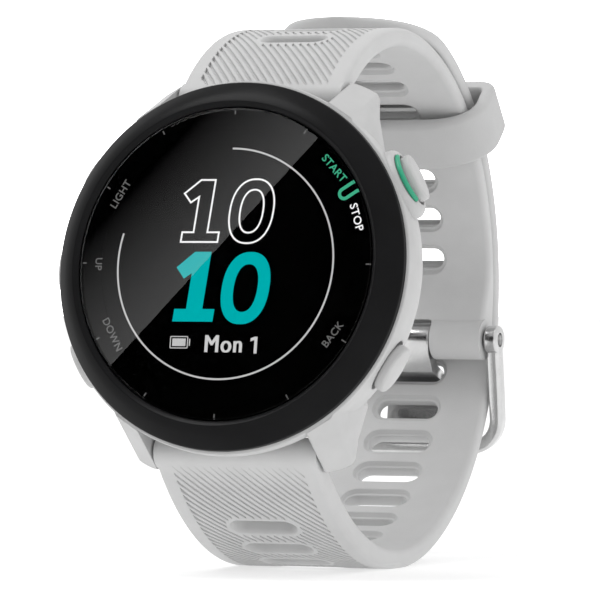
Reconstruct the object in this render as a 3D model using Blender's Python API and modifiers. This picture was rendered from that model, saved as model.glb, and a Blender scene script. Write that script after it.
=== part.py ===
"""GPS running watch, buckled as on a wrist and standing on the bend of its strap.

World frame: metres, +Z up, +X towards 3 o'clock, +Y from the dial back through the loop.
The origin is the centre of the flat patch that the strap stands on.
The strap loop is laid out in polar form about its own centre, in the YZ plane: angle 0 points
along +Y, 90 degrees points up. The head is laid out in its own frame: x to 3 o'clock, y to
12 o'clock, z out of the dial, with z = 0 on the face of the display.
"""

import math

import bmesh
import bpy
import numpy as np
from mathutils import Matrix, Vector

MM = 0.001

# ---- fits -----------------------------------------------------------------------------------
GAP = 0.3 * MM               # between pieces that fit together
SEAM = 0.1 * MM              # between the faces of a closed joint line

# ---- the loop and how the head sits on it ---------------------------------------------------
UPPER_RADIUS = 28.65 * MM    # middle of the upper strap, from the loop's centre
DIAL_STANDOFF = 1.05 * MM    # the display's centre lies this far outside that radius
LOOP_TO_DIAL = UPPER_RADIUS + DIAL_STANDOFF
LOOP_DROP = 2.8 * MM         # the loop's centre lies this far below the display's centre
LEAN = math.radians(10.12)   # the dial leans back by this much
REST_SHAVE = 0.12 * MM       # depth of the flat worn on the strap where the watch stands

# ---- head: bezel, lens, display -------------------------------------------------------------
BEZEL_RADIUS = 21.06 * MM
BEZEL_CREST_RADIUS = 18.5 * MM
BEZEL_BORE = 17.93 * MM
BEZEL_CREST = 0.6 * MM
BEZEL_BORE_TOP = 0.32 * MM
BEZEL_EDGE_TOP = -1.35 * MM
BEZEL_BASE = -2.2 * MM
BEZEL_LEDGE = -0.6 * MM
BEZEL_LEDGE_RADIUS = 16.4 * MM
LENS_TOP = 0.24 * MM
LENS_THICKNESS = 0.6 * MM
LENS_CLEARANCE = 0.15 * MM
DISPLAY_THICKNESS = 1.1 * MM
TRAY_WALL = 0.35 * MM
TRAY_FLOOR = 0.7 * MM

# ---- head: case -----------------------------------------------------------------------------
CASE_RADIUS = 21.4 * MM
CASE_WAIST_RADIUS = CASE_RADIUS - 0.2 * MM
CASE_FOOT_RADIUS = CASE_RADIUS - 2.1 * MM
CASE_CAVITY = 17.3 * MM
CASE_TOP = BEZEL_BASE - SEAM
CASE_FOOT = -10.0 * MM
CASE_RIM = 1.5 * MM          # height of the full round rim above the strap pockets
SEAL_LEDGE_RADIUS = 16.2 * MM
SEAL_LEDGE_TOP = -7.4 * MM
SEAL_LEDGE_BASE = -8.2 * MM
COVER_RECESS = 17.6 * MM
SEAL_THICKNESS = 0.4 * MM
COVER_TOP = -9.0 * MM
COVER_BASE = -10.2 * MM

# ---- lugs and spring bars -------------------------------------------------------------------
STRAP_WIDTH = 20.0 * MM
LUG_REACH = 0.9 * MM         # how far a lug's tip passes the case's radius
LUG_TIP = CASE_RADIUS + LUG_REACH
LUG_ROOT_LENGTH = 11.3 * MM  # how far back along the case's side a lug begins
LUG_THICKNESS = 3.1 * MM     # across the strap, at the lug's tip
LUG_FACET_TURN = math.radians(58)    # the front facet of a lug faces this way in plan
LUG_FACET_DROP = math.radians(25.4)  # and leans out by this much towards the back
BAR_TO_TIP = 1.9 * MM
BAR_OFFSET = LUG_TIP - BAR_TO_TIP    # from the head's centre to a spring bar
BAR_LEVEL = -8.3 * MM
BAR_RADIUS = 0.75 * MM
BAR_TIP_RADIUS = 0.4 * MM
BAR_TIP_REACH = 1.0 * MM     # how far a tip enters its lug
BAR_GAP_START = 3.2 * MM     # where the fixed tube ends, beside the sliding pin
RELEASE_TRAVEL = 1.5 * MM
RELEASE_KNOB_X = 6.5 * MM
RELEASE_KNOB_RADIUS = 0.6 * MM
RELEASE_KNOB_REACH = 2.6 * MM
LUG_KNUCKLE = 1.9 * MM       # radius of the strap's end around its spring bar

# ---- buttons --------------------------------------------------------------------------------
BUTTONS = {"light": 150.0, "up": 180.0, "down": 210.0, "start": 28.0, "back": -30.0}
BUTTON_LEVEL = -5.5 * MM
BUTTON_LENGTH = 5.7 * MM
BUTTON_HEIGHT = 3.4 * MM
BUTTON_PROUD = 1.2 * MM      # how far a cap stands out of the case
BUTTON_TRAVEL = 0.6 * MM
START_RISE = 0.95 * MM       # the start button and its collar stand out this much further
COLLAR_LENGTH = 9.4 * MM
COLLAR_HEIGHT = 6.2 * MM
CAP_THICKNESS = 1.3 * MM
STEM_RADIUS = 0.9 * MM
STEM_END = 16.9 * MM         # distance of the stem's inner end from the head's centre
SWITCH_SIZE = (1.6 * MM, 3.4 * MM, 1.5 * MM)
SEAL_RING_RADIUS = 1.55 * MM
SEAL_RING_CORD = 0.3 * MM
SEAL_BORE = 2.1 * MM
SEAL_BORE_DEPTH = 1.2 * MM
ACCENT_REACH = 2.55 * MM     # from the start button's centre forward to the accent
ACCENT_HALF_LENGTH = 3.3 * MM
ACCENT_RADIUS = 0.36 * MM
ACCENT_SWEEP = (38.0, 142.0)

# ---- inside the case ------------------------------------------------------------------------
BOARD_RADIUS = 15.9 * MM
BOARD_TOP = -3.6 * MM
BOARD_THICKNESS = 1.0 * MM
BATTERY_SIZE = (18.0 * MM, 14.0 * MM, 2.4 * MM)
BATTERY_Y = 1.5 * MM
ANTENNA_SIZE = (13.0 * MM, 3.2 * MM, 1.2 * MM)
ANTENNA_Y = 12.6 * MM
ROUND_PART_RADIUS = 3.8 * MM
ROUND_PART_PLACE = (6.9 * MM, -10.6 * MM)
MOTOR_THICKNESS = 2.0 * MM
BUZZER_THICKNESS = 1.0 * MM
SENSOR_BOARD_RADIUS = 6.6 * MM
SENSOR_BOARD_THICKNESS = 0.5 * MM
WINDOW_RADIUS = 7.0 * MM
WINDOW_FACE = -11.0 * MM
CHIP_SIZE = (1.8 * MM, 1.8 * MM, 0.6 * MM)
CHIP_SPACING = 3.6 * MM

# ---- rear: charging contacts and screws -----------------------------------------------------
CARRIER_SIZE = (8.6 * MM, 2.6 * MM)
CARRIER_Y = -12.2 * MM
CARRIER_RECESS = 0.3 * MM
CONTACT_RADIUS = 0.4 * MM
CONTACT_PITCH = 2.0 * MM
SCREW_CIRCLE = 14.9 * MM
SCREW_HEAD_RADIUS = 1.1 * MM
SCREW_HEAD = 0.6 * MM
SCREW_SHANK_RADIUS = 0.6 * MM
SCREW_REACH = 1.95 * MM
BOSS_RADIUS = 1.9 * MM

# ---- strap ----------------------------------------------------------------------------------
EDGE_CHAMFER = 0.4 * MM
UPPER_THICKNESS = 1.9 * MM
LOWER_THICKNESS = 1.75 * MM
LOWER_RADIUS = UPPER_RADIUS + UPPER_THICKNESS / 2 + GAP + LOWER_THICKNESS / 2
LOWER_FULLNESS = 1.1 * MM    # how much further out the lower strap runs under the case
CASE_END_THICKNESS = 2.5 * MM
TAIL_TIP_ANGLE = 84.3
SLOT_LENGTH = 8.1 * MM
SLOT_WIDTH = 2.7 * MM
UPPER_SLOT_PITCH = 5.125 * MM
UPPER_SLOT_RANGE = (5.9, 109.0)      # degrees around the loop, first slot to the last that fits
LOWER_SLOT_PITCH = 5.022 * MM
LOWER_SLOT_RANGE = (-125.0, 73.5)
TONGUE_SLOT = -21.05                 # the slot that the tongue is in

# ---- buckle and keeper ----------------------------------------------------------------------
PIN_ANGLE = -14.55
PIN_RADIUS = 0.75 * MM
BUCKLE_KNUCKLE = 2.4 * MM
TONGUE_WIDTH = 6.6 * MM      # where it goes round the pin and through the slot
PLATE_WIDTH = 7.8 * MM       # of the plate that lies over the strap
TONGUE_BARREL = 1.85 * MM
TONGUE_THICKNESS = 1.3 * MM
FRAME_SIDE = 1.6 * MM        # thickness of an arm across the strap
FRAME_DEPTH = 2.0 * MM       # thickness through the strap
FRAME_BAR = 2.0 * MM
FRAME_EYE = 1.7 * MM
FRAME_CORNER = 4.2 * MM
FRAME_BOW = 0.2 * MM         # how far the arms bow outwards between pin and far bar
BAR_ANGLE = -35.4            # where the far bar lies around the loop
BAR_CLEARANCE = 1.45 * MM    # between the far bar and the strap below it
KEEPER_ANGLE = 40.0
KEEPER_WIDTH = 7.0 * MM
KEEPER_WALL = 1.4 * MM       # beside the strap
KEEPER_FLOOR = 1.5 * MM      # under it
KEEPER_ROOF = 1.8 * MM       # over it
KEEPER_SAG = 1.2 * MM        # room under the strap
KEEPER_SLACK = 0.55 * MM     # room over it
KEEPER_ASIDE = 1.0 * MM      # room beside it
KEEPER_BILGE = 6.2 * MM      # how far the round lower corners reach in

ROUND_STEPS = 48


# ---- scene and helpers ----------------------------------------------------------------------
for old in list(bpy.data.objects):
    bpy.data.objects.remove(old, do_unlink=True)

watch = bpy.data.collections.new("gps_running_watch")
cutters = bpy.data.collections.new("cutters")
bpy.context.scene.collection.children.link(watch)
bpy.context.scene.collection.children.link(cutters)


def make_material(name, colour, roughness, metallic=0.0):
    material = bpy.data.materials.new(name)
    material.use_nodes = True
    shader = material.node_tree.nodes["Principled BSDF"]
    shader.inputs["Base Color"].default_value = (*colour, 1.0)
    shader.inputs["Roughness"].default_value = roughness
    shader.inputs["Metallic"].default_value = metallic
    material.diffuse_color = (*colour, 1.0)
    return material


PALE = make_material("pale_grey_plastic", (0.60, 0.60, 0.60), 0.45)
SILICONE = make_material("pale_grey_silicone", (0.62, 0.62, 0.61), 0.6)
BLACK = make_material("black_satin_plastic", (0.02, 0.02, 0.02), 0.4)
GLASS = make_material("lens_glass", (0.05, 0.05, 0.05), 0.05)
SCREEN = make_material("display_black", (0.01, 0.01, 0.01), 0.3)
GREEN = make_material("green_accent", (0.02, 0.45, 0.24), 0.35)
STEEL = make_material("brushed_steel", (0.60, 0.60, 0.60), 0.28, 1.0)
BOARD = make_material("circuit_board", (0.02, 0.16, 0.07), 0.5)
FOIL = make_material("battery_foil", (0.55, 0.56, 0.58), 0.35, 0.8)
RUBBER = make_material("seal_rubber", (0.03, 0.03, 0.03), 0.7)
CERAMIC = make_material("antenna_ceramic", (0.70, 0.64, 0.50), 0.5)
GOLD = make_material("contact_gold", (0.80, 0.58, 0.22), 0.25, 1.0)
SMOKED = make_material("smoked_window", (0.03, 0.02, 0.03), 0.1)


def make_empty(name, parent=None, matrix=None):
    empty = bpy.data.objects.new(name, None)
    watch.objects.link(empty)
    empty.parent = parent
    if matrix is not None:
        empty.matrix_local = matrix
    return empty


def place(mesh, name, parent, material=None, matrix=None):
    """Put a mesh in the scene: a part if it has a material, otherwise a cutter."""
    thing = bpy.data.objects.new(name, mesh)
    thing.parent = parent
    if matrix is not None:
        thing.matrix_local = matrix
    if material is None:
        cutters.objects.link(thing)
        thing.hide_render = True
        thing.display_type = "WIRE"
    else:
        watch.objects.link(thing)
        mesh.materials.append(material)
    return thing


def finish_mesh(shape, name, smooth=True):
    mesh = bpy.data.meshes.new(name)
    shape.to_mesh(mesh)
    shape.free()
    if smooth:
        mesh.shade_smooth()
        mesh.set_sharp_from_angle(angle=math.radians(30))
    return mesh


def turned(name, profile, parent, material=None, matrix=None, steps=ROUND_STEPS):
    """Turn a profile of (radius, height) points, outer side downwards, about the parent's Z."""
    shape = bmesh.new()
    points = [shape.verts.new((radius, 0.0, height)) for radius, height in profile]
    closed = profile[0][0] > 0.0
    ends = points[1:] + points[:1] if closed else points[1:]
    for start, end in zip(points, ends):
        shape.edges.new((start, end))
    thing = place(finish_mesh(shape, name, smooth=False), name, parent, material, matrix)
    screw = thing.modifiers.new("turn", "SCREW")
    screw.steps = steps
    screw.render_steps = steps
    screw.use_merge_vertices = True
    screw.merge_threshold = 0.00001
    screw.use_smooth_shade = True
    return thing


def disc(name, radius, top, base, parent, material=None, matrix=None, steps=ROUND_STEPS):
    profile = [(0.0, top), (radius, top), (radius, base), (0.0, base)]
    return turned(name, profile, parent, material, matrix, steps)


def ring(name, inner, outer, top, base, parent, material=None, matrix=None, steps=ROUND_STEPS):
    profile = [(inner, top), (outer, top), (outer, base), (inner, base)]
    return turned(name, profile, parent, material, matrix, steps)


def prism(name, outline, low, high, parent, material=None, matrix=None):
    """Extrude a flat outline of (x, y) points from z = low to z = high."""
    shape = bmesh.new()
    face = shape.faces.new([shape.verts.new((x, y, low)) for x, y in outline])
    face.normal_update()
    if face.normal.z > 0:
        face.normal_flip()
    grown = bmesh.ops.extrude_face_region(shape, geom=[face])
    moved = [item for item in grown["geom"] if isinstance(item, bmesh.types.BMVert)]
    bmesh.ops.translate(shape, verts=moved, vec=(0.0, 0.0, high - low))
    bmesh.ops.recalc_face_normals(shape, faces=shape.faces)
    return place(finish_mesh(shape, name), name, parent, material, matrix)


def box(name, size, centre, parent, material=None, matrix=None):
    shape = bmesh.new()
    bmesh.ops.create_cube(shape, size=1.0)
    bmesh.ops.scale(shape, verts=shape.verts, vec=size)
    bmesh.ops.translate(shape, verts=shape.verts, vec=centre)
    return place(finish_mesh(shape, name, smooth=False), name, parent, material, matrix)


def modify(target, tool, operation):
    boolean = target.modifiers.new(operation.lower(), "BOOLEAN")
    boolean.operation = operation
    boolean.solver = "EXACT"
    boolean.object = tool
    return target


def cut(target, tool):
    return modify(target, tool, "DIFFERENCE")


def join(target, tool):
    return modify(target, tool, "UNION")


def arc(centre, radius, start, end, steps):
    """Points on an arc of a flat outline, with angles in degrees."""
    angles = np.radians(np.linspace(start, end, steps + 1))
    return [(centre[0] + radius * math.cos(a), centre[1] + radius * math.sin(a)) for a in angles]


def rounded_rectangle(width, height, radius, steps=4):
    x, y = width / 2 - radius, height / 2 - radius
    corners = [(x, y, 0), (-x, y, 90), (-x, -y, 180), (x, -y, 270)]
    return [p for cx, cy, turn in corners for p in arc((cx, cy), radius, turn, turn + 90, steps)]


def stadium(length, width, steps=5):
    reach = (length - width) / 2
    right = arc((reach, 0.0), width / 2, -90, 90, steps)
    left = arc((-reach, 0.0), width / 2, 90, 270, steps)
    return right + left


def ellipse(length, height, steps=24):
    angles = [2 * math.pi * i / steps for i in range(steps)]
    return [(length / 2 * math.cos(a), height / 2 * math.sin(a)) for a in angles]


def across(centre, turn=0.0):
    """Frame whose Z runs along +X, with its X along +Y and its Y along +Z, turned about +X."""
    axes = Matrix(((0, 0, 1), (1, 0, 0), (0, 1, 0))).to_4x4()
    return Matrix.Translation(centre) @ Matrix.Rotation(turn, 4, "X") @ axes


# ---- reference frames -----------------------------------------------------------------------
rest_radius = LOWER_RADIUS + LOWER_FULLNESS + CASE_END_THICKNESS / 2 - 0.2 * MM
loop_height = rest_radius - REST_SHAVE
loop = make_empty("loop_centre", matrix=Matrix.Translation((0.0, 0.0, loop_height)))
dial_place = Vector((0.0, -LOOP_TO_DIAL, loop_height + LOOP_DROP))
head_matrix = Matrix.Translation(dial_place) @ Matrix.Rotation(math.pi / 2 - LEAN, 4, "X")
head = make_empty("head", matrix=head_matrix)


def bar_polar(side):
    """Angle in degrees and radius of a spring bar about the loop's centre."""
    spot = head_matrix @ Vector((0.0, side * BAR_OFFSET, BAR_LEVEL)) - loop.matrix_local.translation
    return math.degrees(math.atan2(spot.z, spot.y)), math.hypot(spot.y, spot.z)


def polar(angle, radius):
    turn = math.radians(angle)
    return Vector((0.0, radius * math.cos(turn), radius * math.sin(turn)))


# ---- bezel, lens and display ----------------------------------------------------------------
turned("bezel", [
    (BEZEL_LEDGE_RADIUS, BEZEL_LEDGE), (BEZEL_BORE, BEZEL_LEDGE), (BEZEL_BORE, BEZEL_BORE_TOP),
    (BEZEL_CREST_RADIUS, BEZEL_CREST), (BEZEL_RADIUS, BEZEL_EDGE_TOP),
    (BEZEL_RADIUS, BEZEL_BASE), (BEZEL_LEDGE_RADIUS, BEZEL_BASE),
], head, BLACK, steps=60)
lens_radius = BEZEL_BORE - LENS_CLEARANCE
lens_base = LENS_TOP - LENS_THICKNESS
disc("lens", lens_radius, LENS_TOP, lens_base, head, GLASS, steps=60)
tray_radius = BEZEL_LEDGE_RADIUS - GAP
display_radius = tray_radius - TRAY_WALL - GAP
display_top = lens_base - GAP
display_base = display_top - DISPLAY_THICKNESS
disc("display_panel", display_radius, display_top, display_base, head, SCREEN)
tray_inside = display_base - GAP
turned("display_tray", [
    (0.0, tray_inside), (tray_radius - TRAY_WALL, tray_inside),
    (tray_radius - TRAY_WALL, display_top), (tray_radius, display_top),
    (tray_radius, tray_inside - TRAY_FLOOR), (0.0, tray_inside - TRAY_FLOOR),
], head, BLACK)

# ---- case with its four lugs ----------------------------------------------------------------
waist = (CASE_TOP + CASE_FOOT) / 2
case = turned("case_body", [
    (CASE_CAVITY, CASE_TOP), (CASE_RADIUS, CASE_TOP), (CASE_WAIST_RADIUS, waist),
    (CASE_WAIST_RADIUS - 0.5 * MM, waist - 2.0 * MM), (CASE_FOOT_RADIUS, CASE_FOOT),
    (COVER_RECESS, CASE_FOOT), (COVER_RECESS, SEAL_LEDGE_BASE),
    (SEAL_LEDGE_RADIUS, SEAL_LEDGE_BASE), (SEAL_LEDGE_RADIUS, SEAL_LEDGE_TOP),
    (CASE_CAVITY, SEAL_LEDGE_TOP),
], head, PALE, steps=56)

lug_inside = STRAP_WIDTH / 2 + GAP
lug_outside = lug_inside + LUG_THICKNESS
lug_root = CASE_RADIUS * 0.89
pocket_wall = BAR_OFFSET - LUG_KNUCKLE - GAP
rim_base = CASE_TOP - CASE_RIM


def lug_side(side):
    """Side outline of a lug, as (y, z): down its sloping face, round its tip and back."""
    tip = [(side * y, z) for y, z in arc((LUG_TIP - 1.3 * MM, BAR_LEVEL - 0.55 * MM),
                                         1.3 * MM, 15, -90, 5)]
    start = side * (LUG_TIP - LUG_ROOT_LENGTH)
    return [(start, CASE_TOP - 0.1 * MM), (side * lug_root, CASE_TOP - 0.1 * MM),
            *tip, (start, CASE_FOOT + 0.1 * MM)]


def lug_plan(side, end):
    """Plan outline of a lug, as (x, y): straight beside the strap, drawn in at its outer corner."""
    points = [(lug_inside, end - 6.7 * MM), (lug_inside, end), (lug_outside - 1.6 * MM, end - 0.15 * MM),
              (lug_outside - 0.5 * MM, end - 0.6 * MM), (lug_outside, end - 1.4 * MM),
              (lug_outside + 0.2 * MM, end - 4.0 * MM), (lug_outside + 1.1 * MM, end - 7.7 * MM),
              (lug_outside, end - 10.8 * MM)]
    return [(side * x, y) for x, y in points]


def facet_cutter(name, x_side, y_side):
    """Block that takes a lug's front corner off, tangent to the case's top edge."""
    touch = Vector((x_side * CASE_RADIUS * math.cos(LUG_FACET_TURN),
                    y_side * CASE_RADIUS * math.sin(LUG_FACET_TURN), CASE_TOP))
    flat = math.cos(LUG_FACET_DROP)
    facing = Vector((x_side * flat * math.cos(LUG_FACET_TURN), y_side * flat * math.sin(LUG_FACET_TURN),
                     math.sin(LUG_FACET_DROP)))
    matrix = Matrix.Translation(touch) @ facing.to_track_quat("Z", "Y").to_matrix().to_4x4()
    return box(name, (30 * MM, 30 * MM, 10 * MM), (0.0, 0.0, 5 * MM), head, matrix=matrix)


for y_side, clock in ((1, "12"), (-1, "6")):
    for x_side, hand in ((1, "right"), (-1, "left")):
        name = f"lug_{clock}_{hand}"
        plan = [(x, y_side * y) for x, y in lug_plan(x_side, LUG_TIP)]
        lug = prism(name, plan, CASE_FOOT, CASE_TOP - 0.1 * MM, head)
        profile = prism(name + "_profile", lug_side(y_side), -lug_outside * 1.5, lug_outside * 1.5,
                        head, matrix=across((0, 0, 0)))
        modify(lug, profile, "INTERSECT")
        cut(lug, facet_cutter(name + "_facet", x_side, y_side))
        join(case, lug)

for y_side in (1, -1):
    deep = (pocket_wall + LUG_TIP + 2 * MM) / 2
    pocket = box(f"strap_pocket_{y_side}", (2 * lug_inside, LUG_TIP + 2 * MM - pocket_wall, 12 * MM),
                 (0.0, y_side * deep, rim_base - 6 * MM), head)
    cut(case, pocket)
    tip_hole = prism(f"bar_hole_{y_side}", arc((0, 0), BAR_TIP_RADIUS + SEAM, 0, 345, 15),
                     -lug_inside - BAR_TIP_REACH - SEAM, lug_inside + BAR_TIP_REACH + SEAM, head,
                     matrix=across((0, y_side * BAR_OFFSET, BAR_LEVEL)))
    cut(case, tip_hole)

# ---- buttons, their seals, switches and the accent ------------------------------------------
cap_outer = CASE_WAIST_RADIUS + BUTTON_PROUD
cap_inner = cap_outer - CAP_THICKNESS
seal_floor = CASE_CAVITY + SEAL_BORE_DEPTH


def button_frame(name, clock_angle):
    """Empty at the head's centre line whose Z points out through a button."""
    turn = Matrix.Rotation(math.radians(clock_angle), 4, "Z")
    lie = Matrix(((0, 0, 1), (1, 0, 0), (0, 1, 0))).to_4x4()
    matrix = Matrix.Translation((0, 0, BUTTON_LEVEL)) @ turn @ lie
    return make_empty(name + "_button_axis", head, matrix)


for name, clock_angle in BUTTONS.items():
    axis = button_frame(name, clock_angle)
    rise = START_RISE if name == "start" else 0.0
    if rise > 0.0:
        collar = prism(name + "_collar", ellipse(COLLAR_LENGTH, COLLAR_HEIGHT, 32), 18.5 * MM,
                       CASE_RADIUS + rise, axis)
        brim = collar.modifiers.new("brim", "BEVEL")
        brim.width = 0.9 * MM
        brim.segments = 3
        brim.angle_limit = math.radians(60)
        join(case, collar)
    pocket = prism(name + "_pocket", ellipse(BUTTON_LENGTH + 2 * GAP, BUTTON_HEIGHT + 2 * GAP),
                   cap_inner + rise - BUTTON_TRAVEL - GAP, cap_outer + 2 * MM, axis)
    cut(case, pocket)
    bore = turned(name + "_bore", [
        (0.0, cap_inner + rise), (STEM_RADIUS + GAP, cap_inner + rise),
        (STEM_RADIUS + GAP, seal_floor),
        (SEAL_BORE, seal_floor), (SEAL_BORE, CASE_CAVITY - 2 * MM), (0.0, CASE_CAVITY - 2 * MM),
    ], axis, steps=20)
    cut(case, bore)
    cap = prism(name + "_button", ellipse(BUTTON_LENGTH, BUTTON_HEIGHT), cap_inner + rise,
                cap_outer + rise, axis, PALE)
    crown = cap.modifiers.new("crown", "BEVEL")
    crown.width = 0.3 * MM
    crown.segments = 2
    crown.angle_limit = math.radians(60)
    stem = disc(name + "_stem", STEM_RADIUS, cap_inner + rise + 0.4 * MM, STEM_END, axis, steps=16)
    join(cap, stem)
    seal_place = seal_floor - GAP - SEAL_RING_CORD
    cord = arc((SEAL_RING_RADIUS, seal_place), SEAL_RING_CORD, 90, -210, 5)
    turned(name + "_button_seal", cord, axis, RUBBER, steps=16)
    switch_face = STEM_END - BUTTON_TRAVEL - GAP
    depth, width, height = SWITCH_SIZE
    box(name + "_switch", (width, height, depth),
        (0.0, BOARD_TOP - BOARD_THICKNESS - GAP - height / 2 - BUTTON_LEVEL, switch_face - depth / 2),
        axis, STEEL)

start_axis = bpy.data.objects["start_button_axis"]


def accent_point(angle):
    """A point of the accent's line, on the collar's face around the front of the start button."""
    turn = math.radians(angle)
    along = ACCENT_HALF_LENGTH * math.cos(turn)
    up = ACCENT_REACH * math.sin(turn)
    return along, up, CASE_RADIUS + START_RISE - 0.05 * MM


def accent_tube(name, radius, material=None):
    line = bpy.data.curves.new(name, "CURVE")
    line.dimensions = "3D"
    line.bevel_depth = radius
    line.bevel_resolution = 2
    line.use_fill_caps = True
    angles = np.linspace(*ACCENT_SWEEP, 13)
    spline = line.splines.new("POLY")
    spline.points.add(len(angles) - 1)
    for point, angle in zip(spline.points, angles):
        point.co = (*accent_point(angle), 1.0)
    if material is not None:
        tube = place(line, name, start_axis, material)
        return tube
    tube = place(line, name + "_line", start_axis)
    solid = bpy.data.meshes.new_from_object(tube.evaluated_get(bpy.context.evaluated_depsgraph_get()))
    bpy.data.objects.remove(tube, do_unlink=True)
    welded = bmesh.new()
    welded.from_mesh(solid)
    bmesh.ops.remove_doubles(welded, verts=welded.verts, dist=0.000001)
    bmesh.ops.recalc_face_normals(welded, faces=welded.faces)
    welded.to_mesh(solid)
    welded.free()
    return place(solid, name, start_axis)


accent_tube("start_accent", ACCENT_RADIUS, GREEN)
cut(case, accent_tube("accent_groove", ACCENT_RADIUS + SEAM))

# ---- electronics ----------------------------------------------------------------------------
board_base = BOARD_TOP - BOARD_THICKNESS
board = disc("main_board", BOARD_RADIUS, BOARD_TOP, board_base, head, BOARD)
cut(board, box("flex_notch", (6 * MM, 3 * MM, 4 * MM), (0, -BOARD_RADIUS, BOARD_TOP), head))
under_board = board_base - GAP


def under(name, outline, thickness, centre, material):
    return prism(name, outline, under_board - thickness, under_board, head, material,
                 matrix=Matrix.Translation((*centre, 0.0)))


under("battery", rounded_rectangle(BATTERY_SIZE[0], BATTERY_SIZE[1], 1.5 * MM), BATTERY_SIZE[2],
      (0.0, BATTERY_Y), FOIL)
under("gps_antenna", rounded_rectangle(ANTENNA_SIZE[0], ANTENNA_SIZE[1], 0.4 * MM, 2),
      ANTENNA_SIZE[2], (0.0, ANTENNA_Y), CERAMIC)
under("vibration_motor", arc((0, 0), ROUND_PART_RADIUS, 0, 345, 23), MOTOR_THICKNESS,
      ROUND_PART_PLACE, STEEL)
under("buzzer", arc((0, 0), ROUND_PART_RADIUS, 0, 345, 23), BUZZER_THICKNESS,
      (-ROUND_PART_PLACE[0], ROUND_PART_PLACE[1]), GOLD)
sensor_top = under_board - BATTERY_SIZE[2] - GAP
sensor_base = sensor_top - SENSOR_BOARD_THICKNESS
disc("sensor_board", SENSOR_BOARD_RADIUS, sensor_top, sensor_base, head, BOARD, steps=32)
chip_top = sensor_base - GAP
for name, place_x, material in (("left_green_led", -CHIP_SPACING, GREEN),
                                ("right_green_led", CHIP_SPACING, GREEN),
                                ("photodiode", 0.0, SCREEN)):
    box(name, CHIP_SIZE, (place_x, 0.0, chip_top - CHIP_SIZE[2] / 2), head, material)
window_top = chip_top - CHIP_SIZE[2] - GAP
window_dome = 0.4 * MM
turned("sensor_window", [
    (0.0, window_top), (WINDOW_RADIUS, window_top), (WINDOW_RADIUS, WINDOW_FACE + window_dome),
    (WINDOW_RADIUS - 2 * window_dome, WINDOW_FACE), (0.0, WINDOW_FACE),
], head, SMOKED, steps=40)

# ---- rear cover, its seal, screws and charging contacts --------------------------------------
ring("rear_seal", SEAL_LEDGE_RADIUS + GAP, CASE_CAVITY, SEAL_LEDGE_BASE - 0.2 * MM,
     SEAL_LEDGE_BASE - 0.2 * MM - SEAL_THICKNESS, head, RUBBER, steps=48)
cover_radius = COVER_RECESS - GAP
cover = ring("rear_cover", WINDOW_RADIUS + GAP, cover_radius, COVER_TOP, COVER_BASE, head, BLACK)
carrier_face = COVER_BASE + CARRIER_RECESS
port = prism("charging_port", rounded_rectangle(CARRIER_SIZE[0] + 2 * GAP,
                                                CARRIER_SIZE[1] + 2 * GAP, 0.8 * MM),
             COVER_BASE - 1 * MM, COVER_TOP + 1 * MM, head,
             matrix=Matrix.Translation((0.0, CARRIER_Y, 0.0)))
cut(cover, port)
carrier = prism("contact_carrier", rounded_rectangle(*CARRIER_SIZE, 0.5 * MM), carrier_face,
                COVER_TOP, head, BLACK, matrix=Matrix.Translation((0.0, CARRIER_Y, 0.0)))
for number in range(4):
    spot = Matrix.Translation(((number - 1.5) * CONTACT_PITCH, CARRIER_Y, 0.0))
    hole = disc(f"contact_hole_{number + 1}", CONTACT_RADIUS + 0.2 * MM, COVER_TOP + 1 * MM,
                carrier_face - 1 * MM, head, matrix=spot, steps=12)
    cut(carrier, hole)
    disc(f"charging_contact_{number + 1}", CONTACT_RADIUS, COVER_TOP + GAP,
         carrier_face - CARRIER_RECESS / 2, head, GOLD, matrix=spot, steps=12)

head_seat = COVER_BASE + SCREW_HEAD + SEAM
for number, clock_angle in enumerate((45, 135, 225, 315)):
    spot = Matrix.Translation((*arc((0, 0), SCREW_CIRCLE, clock_angle, clock_angle, 1)[0], 0.0))
    boss = disc(f"screw_boss_{number + 1}", BOSS_RADIUS, SEAL_LEDGE_BASE + 1.0 * MM,
                SEAL_LEDGE_BASE + SEAM, head, matrix=spot, steps=20)
    join(case, boss)
    hole = disc(f"screw_hole_{number + 1}", SCREW_SHANK_RADIUS + GAP, SEAL_LEDGE_BASE + 2.0 * MM,
                COVER_BASE - 1 * MM, head, matrix=spot, steps=16)
    cut(case, hole)
    cut(cover, hole)
    sink = disc(f"screw_sink_{number + 1}", SCREW_HEAD_RADIUS + GAP, head_seat + SEAM,
                COVER_BASE - 1 * MM, head, matrix=spot, steps=16)
    cut(cover, sink)
    turned(f"cover_screw_{number + 1}", [
        (0.0, head_seat + SCREW_REACH), (SCREW_SHANK_RADIUS, head_seat + SCREW_REACH),
        (SCREW_SHANK_RADIUS, head_seat), (SCREW_HEAD_RADIUS, head_seat),
        (SCREW_HEAD_RADIUS, head_seat - SCREW_HEAD), (0.0, head_seat - SCREW_HEAD),
    ], head, STEEL, matrix=spot, steps=16)

# ---- strap ----------------------------------------------------------------------------------


def smooth_through(stations):
    """Smooth curve through stations: the first column is the angle, the rest are read from it."""
    table = np.array(sorted(stations), dtype=float)
    knots, values = table[:, 0], table[:, 1:]
    slopes = np.gradient(values, knots, axis=0)

    def read(angle):
        i = int(np.clip(np.searchsorted(knots, angle) - 1, 0, len(knots) - 2))
        span = knots[i + 1] - knots[i]
        t = (angle - knots[i]) / span
        return ((2 * t ** 3 - 3 * t ** 2 + 1) * values[i] + (t ** 3 - 2 * t ** 2 + t) * span * slopes[i]
                + (3 * t ** 2 - 2 * t ** 3) * values[i + 1] + (t ** 3 - t ** 2) * span * slopes[i + 1])

    return read


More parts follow.
